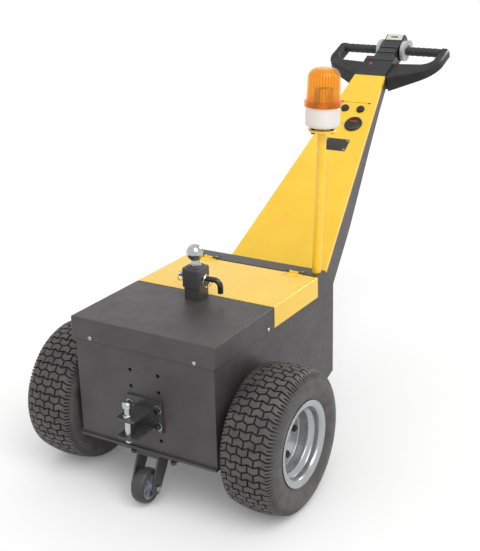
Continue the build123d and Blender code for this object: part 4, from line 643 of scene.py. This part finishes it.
LENS_RIM = (LENS_BORE, (0, 52.4), (0.6, 53), (14.4, 53), (15, 52.6), (17, 48.5))
LENS_SIDE = (78.5, 46.5)
LENS_ROUND = 28
LENS_WALL = 3
OUTER_LOW = 19
INNER_LOW = 2
LENS_CLEAR = 0.02
RIM_TINT = 0.6

white_plastic = moulded("white_abs", "#E6E1D8", "#EFEAE2", 0.3, 0.42)
amber = clear_plastic("amber_acrylic", "#FFF09A", "#F0880E", "#FFB81A", "#FFC226", 0.16)
bulb_glass = moulded("bulb_glass", "#E8E2D2", "#F6F1E6", 0.1, 0.2)
mirror = plated("silvered_reflector", "#CFCFCF", "#E6E6E6", 0.04, 0.1)
lean = np.array(BEACON_LEAN) / np.linalg.norm(BEACON_LEAN)
post_tube = turned(TUBE, BEACON_FOOT, lean, 48)
make_piece("beacon_tube", post_tube, yellow, "chassis", ["beacon_post"])
flange = turned(FLANGE, BEACON_FOOT, lean, 56)
make_piece("beacon_disc", flange, yellow, "chassis", ["beacon_flange"])
foot_turns = 2 * np.pi / 3 * np.arange(3)
foot_places = BEACON_FOOT + FOOT_CIRCLE_R * np.stack([np.cos(foot_turns), np.sin(foot_turns), np.zeros(3)], 1)
feet = [turned(FOOT_PAD, place, lean, 24) for place in foot_places]
foot_bolts = [turned(HEX, place, lean, 6) for place in foot_places]
make_piece("beacon_feet", joined(*feet, *foot_bolts), rubber, "chassis", sharp=25)

arch = np.linspace(0, np.pi / 2, 14)[:, None]
base_round = np.hstack([CUP_ROUND - CUP_ROUND * np.cos(arch), CUP_R - CUP_ROUND + CUP_ROUND * np.sin(arch)])
cup_profile = np.vstack([(0, 0), base_round, CUP]) + (CUP_H, 0)
cup = turned(cup_profile, BEACON_FOOT, lean, 72)
make_piece("beacon_cup", cup, white_plastic, "chassis", ["beacon_base"])


def dome(radius, round_r, low):
    """Lens profile from a height `low` up its side, over a quarter round and flat across the crown."""
    side = np.linspace((low, radius + 2), (LENS_SIDE[0], radius), 16)
    corner = np.hstack([LENS_SIDE[0] + round_r * np.sin(arch), radius - round_r + round_r * np.cos(arch)])
    return np.vstack([side, corner[1:], [(LENS_SIDE[0] + round_r, 0)]])


outer = np.vstack([LENS_RIM, dome(LENS_SIDE[1], LENS_ROUND, OUTER_LOW)]) - (0, LENS_CLEAR)
inner = np.vstack([dome(LENS_SIDE[1] - LENS_WALL, LENS_ROUND - LENS_WALL, INNER_LOW)[::-1], [LENS_BORE]])
glass, quads = turned(np.vstack([outer, inner]), (0, 0, 0), (0, 0, 1), LENS_STEPS)
around = np.arctan2(glass[:, 1], glass[:, 0])
reach = np.hypot(glass[:, 0], glass[:, 1])
fluted = (np.arange(len(glass)) >= len(outer) * LENS_STEPS) & (glass[:, 2] > FLUTE_LOW) & (reach > FLUTE_IN)
flute = fluted * np.abs(np.cos(FLUTES / 2 * around))
glass[:, :2] *= (1 - FLUTE_DEPTH * flute / np.maximum(reach, 1))[:, None]
thick = np.where(glass[:, 2] < FLUTE_LOW, RIM_TINT, flute ** 3)
across_lean = np.cross(lean, (0, 1, 0))
across_lean /= np.linalg.norm(across_lean)
glass = BEACON_FOOT + glass @ np.stack([across_lean, np.cross(lean, across_lean), lean]) + LENS_H * lean
make_piece("beacon_dome", (glass, quads), amber, "chassis", ["beacon_lens"], marks=thick)
cad_copy("bulb_and_holder", ["beacon_lamp"], bulb_glass, "chassis", 0.6)
cad_copy("turning_mirror", ["beacon_reflector"], mirror, "beacon_spinner", 0.4)


# Castors: pressed steel forks in black stoved paint with black plate bolts and zinc axles.
# Each wheel is a hard rubber ring moulded on a ribbed grey-blue nylon hub.
CASTOR_R = 49.97
CASTOR_HALF = 19
RING_R_IN = 37
RING_EDGE_R = 43
RING_CROWN = 5
CASTOR_PLATE_T = 6
PLATE_NUTS = ((-47, -158), (86, -162))
NUT = ((0, 0), (0, 9.5), (-6, 9.5), (-7, 8.6), (-7, 5), (-10, 5), (-10, 0))
# name, body of the fork, body of the wheel
CASTORS = (
    ("front_castor", "chassis", "front_castor_wheel"),
    ("rear_castor", "rear_castor_swivel", "rear_castor_wheel"),
)

castor_rubber = moulded("castor_rubber", "#373636", "#424041", 0.4, 0.58, 0.9)
castor_nylon = moulded("castor_hub_nylon", "#868C9A", "#9298A6", 0.38, 0.52)
crown = np.linspace(-1, 1, 21)[1:-1]
castor_ring = np.vstack([
    [(-CASTOR_HALF, RING_R_IN), (-CASTOR_HALF, RING_EDGE_R)],
    np.stack([crown * CASTOR_HALF, CASTOR_R - RING_CROWN * crown ** 2], 1),
    [(CASTOR_HALF, RING_EDGE_R), (CASTOR_HALF, RING_R_IN), (-CASTOR_HALF, RING_R_IN)],
])
for name, fork_body, wheel_body in CASTORS:
    middle = sum(box_of(name + "_tyre")) / 2
    tread = turned(castor_ring, middle, (1, 0, 0), 72)
    make_piece(name + "_tread", tread, castor_rubber, wheel_body, [name + "_tyre"])
    cad_copy(name + "_centre", [name + "_hub"], castor_nylon, wheel_body, 0.7)
    cad_copy(name + "_legs", [name + "_fork"], black_stove, fork_body, 1.0)
    cad_copy(name + "_bolt", [name + "_axle"], zinc, fork_body, 0.5)
cad_copy("rear_castor_top", ["rear_castor_plate"], black_stove, "chassis", 0.8)
plate_low = box_of("front_castor_fork")[1][2] - CASTOR_PLATE_T
nuts = joined(*[turned(NUT, (x, AXLE[1] + y, plate_low), (0, 0, 1), 6) for x, y in PLATE_NUTS])
make_piece("castor_nuts", nuts, black_stove, "chassis", sharp=25)


# Drive wheels: rolled steel rims sprayed silver, bolted to hubs with black oxide nuts.
# The tyres are moulded rubber with a turf tread: rows of chevron blocks across the
# crown, cut apart by narrow grooves, turning into short bars on the shoulders.
def eased(profile, steps=5, most=0.7):
    """A closed profile of (x, r, cut): each corner becomes a parabola from cut mm before it to
    cut mm after it, or to the share `most` of a shorter side."""
    table = np.array(profile, float)
    corner, cut = table[:, :2], table[:, 2:]
    before, after = np.roll(corner, 1, 0) - corner, np.roll(corner, -1, 0) - corner
    long_in, long_out = np.linalg.norm(before, axis=1)[:, None], np.linalg.norm(after, axis=1)[:, None]
    start = corner + before / long_in * np.minimum(cut, most * long_in)
    end = corner + after / long_out * np.minimum(cut, most * long_out)
    t = np.linspace(0, 1, steps)[:, None]
    curves = (1 - t) ** 2 * start[:, None] + 2 * t * (1 - t) * corner[:, None] + t ** 2 * end[:, None]
    points = curves.reshape(-1, 2)
    return np.vstack([points, points[:1]])


def arc_through(a, b, c, count):
    """Points on the circle through a, b and c, from a to c: the centre is where the chords'
    middle lines meet."""
    a, b, c = (np.array(p, float) for p in (a, b, c))
    centre = np.linalg.solve(2 * np.array([b - a, c - a]), [b @ b - a @ a, c @ c - a @ a])
    radius = np.linalg.norm(a - centre)
    t = np.unwrap([np.arctan2(*(p - centre)[::-1]) for p in (a, b, c)])
    t = np.linspace(t[0], t[2], count)
    return centre + radius * np.stack([np.cos(t), np.sin(t)], 1)


TYRE_R = 202.98
CROWN = ((68, 194), (0, TYRE_R), (-68, 194))
SIDE = ((70, 118), (82, 158), (68, 194))
INNER = ((58, 184), (74, 158), (58, 114))
BEAD = ((70, 101.6), (56, 101.6))
ROWS = 60
PITCH = 2 * np.pi * TYRE_R / ROWS
BRICK = 16.5
BRICKS = 4
CHEVRON = 3.25
ROW_GAP = 1.7
CUT_GAP = 1.6
BAR_GAP = 1.2
WALL = 1.0
DEEP = 6.0
FADE = (70, 92)
BARS_FROM = 64
BARS_EASE = 3
# first sidewall line from the crown and how many lines, outside and inside
WALL_LINES = ((79, 20), (70.2, 22))
# along the axle, radius, corner cut
RIM = (
    (75, 120, 1.5), (70, 117, 1), (70, 101.6, 2), (49, 101.6, 3), (40, 88, 3), (-10, 88, 3), (-19, 101.6, 3),
    (-70, 101.6, 2), (-70, 117, 1), (-75, 120, 1.5), (-75, 116, 1), (-74, 114, 1), (-74, 97.6, 13),
    (-21, 97.6, 3), (-12, 84, 3), (6, 84, 1), (6, 30, 0.5), (11, 30, 0.5), (11, 33, 0.5), (12.4, 34.5, 0.8),
    (12.4, 38, 0.8), (11, 39.5, 0.5), (11, 84, 5), (42, 84, 4), (51, 97.6, 4), (74, 97.6, 13), (74, 114, 1),
    (75, 116, 1),
)
HUB = (
    (-54, 17.6, 0.5), (-54, 29.5, 1), (-4, 29.5, 2), (-4, 62, 1), (6, 62, 1), (6, 29.5, 0.5), (14, 29.5, 1.5),
    (14, 17.6, 1),
)
RIBS = 220
RIB_BAND = (0.163, 0.013)
RING_STEP = 0.005
RING_BAND = (0.128, 0.008)
BOLT_CIRCLE = 50.8
BOLT_TURNS = np.radians(10 + 90 * np.arange(4))
WHEEL_NUT = ((11, 6), (11, 9.8), (19.6, 9.8), (21, 8.2), (21, 6))
WHEEL_STUD = ((6, 0), (6, 6), (23.2, 6), (24, 5.2), (24, 0))


def tyre_mesh(centre):
    """A closed tube round the axle, and how deep in a groove each point lies. Lines across
    follow the meridian by its length v from the crown; lines round are bent by a triangle wave
    in v, so the block edges lie on them; grooves sink along the normal."""
    half = np.vstack([arc_through(*CROWN, 81)[40::-1][:-1], arc_through(*SIDE, 81)[::-1]])
    whole = np.vstack([half[:0:-1] * (-1, 1), half])
    for _ in range(3):
        whole[1:-1] = (whole[:-2] + 2 * whole[1:-1] + whole[2:]) / 4
    length = np.concatenate([[0], np.cumsum(np.linalg.norm(np.diff(whole, axis=0), axis=1))])
    length -= length[-1] / 2
    edge = np.array([-CUT_GAP - WALL, -CUT_GAP, 0, CUT_GAP, CUT_GAP + WALL, BRICK / 2])
    (out_from, out_count), (in_from, in_count) = WALL_LINES
    v = np.unique(np.round(np.concatenate([
        (np.arange(-BRICKS, BRICKS + 1)[:, None] * BRICK + edge).ravel(),
        np.linspace(out_from, length[-1], out_count), -np.linspace(in_from, length[-1], in_count),
    ]), 3))
    x, r = np.interp(v, length, whole[:, 0]), np.interp(v, length, whole[:, 1])
    slope = np.stack([np.gradient(x, v), np.gradient(r, v)], 1)
    slope /= np.linalg.norm(slope, axis=1)[:, None]
    out_x, out_r = -slope[:, 1], slope[:, 0]

    spots = np.array([ROW_GAP, ROW_GAP + WALL, PITCH / 2 - BAR_GAP - WALL, PITCH / 2 - BAR_GAP])
    spots = np.concatenate([spots, PITCH - spots[::-1]])
    u = (np.arange(ROWS)[:, None] * PITCH + spots).ravel()
    row, place = np.repeat(np.arange(ROWS), len(spots)), np.tile(spots, ROWS)
    row_cut = np.clip((ROW_GAP + WALL - np.minimum(place, PITCH - place)) / WALL, 0, 1)
    bar_cut = np.clip((BAR_GAP + WALL - np.abs(place - PITCH / 2)) / WALL, 0, 1)
    nearest = np.round(v / BRICK)
    side_cut = np.clip((CUT_GAP + WALL - np.abs(v - nearest * BRICK)) / WALL, 0, 1) * (np.abs(v) < BARS_FROM)
    in_turn = (nearest[:, None] + row[None]) % 2 == 0
    shoulder = np.clip((np.abs(v) - BARS_FROM) / BARS_EASE, 0, 1)[:, None]
    groove = np.maximum(np.maximum(row_cut[None], side_cut[:, None] * in_turn), bar_cut[None] * shoulder)
    fade = np.clip((FADE[1] - np.abs(v)) / (FADE[1] - FADE[0]), 0, 1)
    groove = groove * (fade * fade * (3 - 2 * fade))[:, None]
    kept = np.clip(v, -BRICKS * BRICK, BRICKS * BRICK)
    bend = CHEVRON * (2 * np.abs((kept / BRICK) % 2 - 1) - 1)
    turn = (u[None] + bend[:, None]) / TYRE_R
    outer_x = x[:, None] - groove * DEEP * out_x[:, None]
    outer_r = r[:, None] - groove * DEEP * out_r[:, None]

    inside = arc_through(*INNER, 9)
    back = np.vstack([BEAD, inside[::-1], inside * (-1, 1), np.array(BEAD)[::-1] * (-1, 1)])
    turn = np.vstack([turn, np.repeat(turn[-1:], len(back), 0), turn[:1]])
    all_x = np.vstack([outer_x, np.repeat(back[:, :1], len(u), 1), outer_x[:1]])
    all_r = np.vstack([outer_r, np.repeat(back[:, 1:], len(u), 1), outer_r[:1]])
    depth = np.vstack([groove, np.zeros((len(back), len(u))), groove[:1]])
    points = np.stack([all_x, all_r * np.cos(turn), all_r * np.sin(turn)], -1).reshape(-1, 3)
    return (np.array(centre) + points, grid_faces(len(all_x), len(u))), depth.ravel()


def flake_paint(name, dark, light):
    """Silver wheel paint: metal flake in lacquer, so part of it shines as metal, faintly cloudy."""
    finish, tree, shader, spot = new_finish(name, Metallic=0.75, IOR=1.5)
    mottle(tree, shader, spot, dark, light, patch_mm=80)
    grain(tree, shader, spot, grain_mm=1.2, height_mm=0.008, smooth=0.22, rough=0.28)
    return finish


def tread_rubber(name):
    """Tyre rubber: dusty tops, and grooves painted near black by the groove attribute as painted shade in the
    recesses;
    on the sidewall bumps: in one band of radii fine ribs, a sine of the angle round the axle, and in another,
    by the rim, rings, a sine of the radius. A band is its middle radius and half its width, in metres."""
    finish, tree, shader, spot = new_finish(name, IOR=1.48)
    tops = shades(tree, noise(tree, spot, 35, 5.0), "#413E3F", "#544F4E")
    groove = node(tree, "ShaderNodeAttribute", attribute_name="groove").outputs["Fac"]
    # grooves painted near black: painted shade in the recesses, over the real sunk grooves
    colour = node(tree, "ShaderNodeMix", {0: groove, 6: tops, 7: linear("#191818")}, data_type="RGBA")
    tree.links.new(colour.outputs[2], shader.inputs["Base Color"])
    hub = (0.0, AXLE[1] / 1000, AXLE[2] / 1000)
    away = node(tree, "ShaderNodeVectorMath", {0: spot, 1: hub}, operation="SUBTRACT").outputs[0]
    flat = node(tree, "ShaderNodeVectorMath", {0: away, 1: (0.0, 1.0, 1.0)}, operation="MULTIPLY").outputs[0]
    radius = node(tree, "ShaderNodeVectorMath", {0: flat}, operation="LENGTH").outputs["Value"]
    parts = node(tree, "ShaderNodeSeparateXYZ", {"Vector": flat})
    angle = maths(tree, "ARCTAN2", parts.outputs["Z"], parts.outputs["Y"])
    ribs = maths(tree, "SINE", maths(tree, "MULTIPLY", angle, RIBS))
    ribs = maths(tree, "MULTIPLY", ribs, maths(tree, "COMPARE", radius, *RIB_BAND))
    rings = maths(tree, "SINE", maths(tree, "MULTIPLY", radius, 2 * np.pi / RING_STEP))
    rings = maths(tree, "MULTIPLY", rings, maths(tree, "COMPARE", radius, *RING_BAND))
    height = maths(tree, "ADD", maths(tree, "ADD", ribs, rings), noise(tree, spot, 1.4, 2.0))
    bump = node(tree, "ShaderNodeBump", {"Height": height, "Strength": 0.4, "Distance": 0.0004})
    tree.links.new(bump.outputs["Normal"], shader.inputs["Normal"])
    gloss = node(tree, "ShaderNodeMapRange", {"Value": noise(tree, spot, 30), "To Min": 0.38, "To Max": 0.66})
    tree.links.new(gloss.outputs["Result"], shader.inputs["Roughness"])
    return finish


rim_paint = flake_paint("silver_wheel_paint", "#A4A6A8", "#ACAEB0")
oxide = powder_coat("black_oxide", "#1A1A1B", "#242425", 0.32, 0.46)
tyre_rubber = tread_rubber("tyre_rubber")
for side, word in ((1, "right"), (-1, "left")):
    body = "wheel_" + word
    middle = sum(box_of("tyre_" + word)) / 2
    tyre, depth = tyre_mesh(middle)
    make_piece("tread_tyre_" + word, tyre, tyre_rubber, body, ["tyre_" + word], sharp=50, marks=depth)
    rim = turned(eased(RIM), middle, (side, 0, 0), 96)
    make_piece("wheel_rim_" + word, rim, rim_paint, body, ["rim_" + word], sharp=50)
    hub = turned(eased(HUB), middle, (side, 0, 0), 64)
    make_piece("wheel_hub_" + word, hub, rim_paint, body, ["hub_" + word], sharp=50)
    nut_seats = middle + BOLT_CIRCLE * np.stack([np.zeros(4), np.cos(BOLT_TURNS), np.sin(BOLT_TURNS)], 1)
    wheel_nuts = [turned(WHEEL_NUT, seat, (side, 0, 0), 6) for seat in nut_seats]
    wheel_studs = [turned(WHEEL_STUD, seat, (side, 0, 0), 20) for seat in nut_seats]
    make_piece("wheel_nuts_" + word, joined(*wheel_nuts, *wheel_studs), oxide, body, sharp=25)


# Studio: a plain pale paper floor under an even sky and a wide soft lamp from above, right
# and in front. Two softboxes show only in gloss, as bright lines on folds, and not in the
# lens. The camera stands where the photograph was taken from.
CAMERA_AT = (1576.95, AXLE[1] - 2215.99, 1610.48)
AZIMUTH, ELEVATION, ROLL = np.radians((31.655, 20.332, -1.529))
FOCAL_PX = 1076.43
PHOTO_H = 551
SENSOR = 36
FLOOR_HALF = 40.0
FLOOR_LIFT = 0.1
SKY_LEVEL = 0.70
SUN_LEVEL = 1.3
SUN_WIDTH = np.radians(50)
SUN_FROM = (0.7, -0.45, 1.0)
SUN_AT = (0, 0, 3)
BOX_SIZE = 0.8
BOX_FAR = 3.2
# name, power in watts, direction it shines from
BOXES = (("front_softbox", 20, (0.22, -0.36, 0.91)), ("rear_softbox", 40, (0.25, 0.78, 0.58)))


def white_when_seen(tree, base):
    """The given light level for diffuse rays, and 1 where the camera, a reflection or clear plastic looks."""
    path = node(tree, "ShaderNodeLightPath")
    seen = maths(tree, "MAXIMUM", path.outputs["Is Camera Ray"], path.outputs["Is Glossy Ray"])
    seen = maths(tree, "MAXIMUM", seen, path.outputs["Is Transmission Ray"])
    return node(tree, "ShaderNodeMapRange", {"Value": seen, "To Min": base, "To Max": 1.0}).outputs["Result"]


floor_mesh = bpy.data.meshes.new("floor")
corners = [(x * FLOOR_HALF, y * FLOOR_HALF, 0) for x, y in ((-1, -1), (1, -1), (1, 1), (-1, 1))]
floor_mesh.from_pydata(corners, [], [(0, 1, 2, 3)])
floor = bpy.data.objects.new("floor", floor_mesh)
bpy.context.collection.objects.link(floor)
paper, tree, shader, spot = new_finish("studio_paper", Roughness=0.9, Specular_IOR_Level=0.0)
mottle(tree, shader, spot, "#F9F9F9", "#FAFAFA", patch_mm=60)
shader.inputs["Emission Color"].default_value = (1, 1, 1, 1)
lift = maths(tree, "MULTIPLY", white_when_seen(tree, 0.0), FLOOR_LIFT)
tree.links.new(lift, shader.inputs["Emission Strength"])
floor_mesh.materials.append(paper)


def facing(back):
    """Axes of a lamp or camera that looks against `back`: right, up and back as columns."""
    back = np.array(back, float) / np.linalg.norm(back)
    right = np.cross((0.0, 0.0, 1.0), back)
    right /= np.linalg.norm(right)
    return np.stack([right, np.cross(back, right), back], 1)


def stand(thing, axes, place):
    """Puts a lamp or camera at a place in metres, turned to the given axes."""
    bpy.context.collection.objects.link(thing)
    thing.matrix_world = Matrix([(*row, at) for row, at in zip(axes, place)] + [(0, 0, 0, 1)])


sun = bpy.data.lights.new("soft_key", "SUN")
sun.energy = SUN_LEVEL
sun.angle = SUN_WIDTH
stand(bpy.data.objects.new("soft_key", sun), facing(SUN_FROM), SUN_AT)
unlit = bpy.data.collections.new("softboxes_skip")
unlit.objects.link(bpy.data.objects["beacon_dome"])
unlit.collection_objects[0].light_linking.link_state = "EXCLUDE"
for name, power, shines_from in BOXES:
    box_light = bpy.data.lights.new(name, "AREA")
    box_light.energy = power
    box_light.size = BOX_SIZE
    softbox = bpy.data.objects.new(name, box_light)
    softbox.visible_camera = False
    softbox.visible_diffuse = False
    softbox.visible_transmission = False
    softbox.light_linking.receiver_collection = unlit
    stand(softbox, facing(shines_from), np.array(shines_from) * BOX_FAR)

world = bpy.data.worlds.new("studio")
world.use_nodes = True
bpy.context.scene.world = world
sky = world.node_tree.nodes["Background"]
sky.inputs["Color"].default_value = (1, 1, 1, 1)
world.node_tree.links.new(white_when_seen(world.node_tree, SKY_LEVEL), sky.inputs["Strength"])

optics = bpy.data.cameras.new("camera")
optics.sensor_width = SENSOR
optics.lens = FOCAL_PX / PHOTO_H * SENSOR
camera = bpy.data.objects.new("camera", optics)
flat = np.cos(ELEVATION)
right, up, back = facing((np.sin(AZIMUTH) * flat, -np.cos(AZIMUTH) * flat, np.sin(ELEVATION))).T
rolled = np.stack([
    right * np.cos(ROLL) + up * np.sin(ROLL), up * np.cos(ROLL) - right * np.sin(ROLL), back,
], 1)
stand(camera, rolled, np.array(CAMERA_AT) / 1000)
bpy.context.scene.camera = camera
bpy.context.scene.view_settings.view_transform = "Standard"
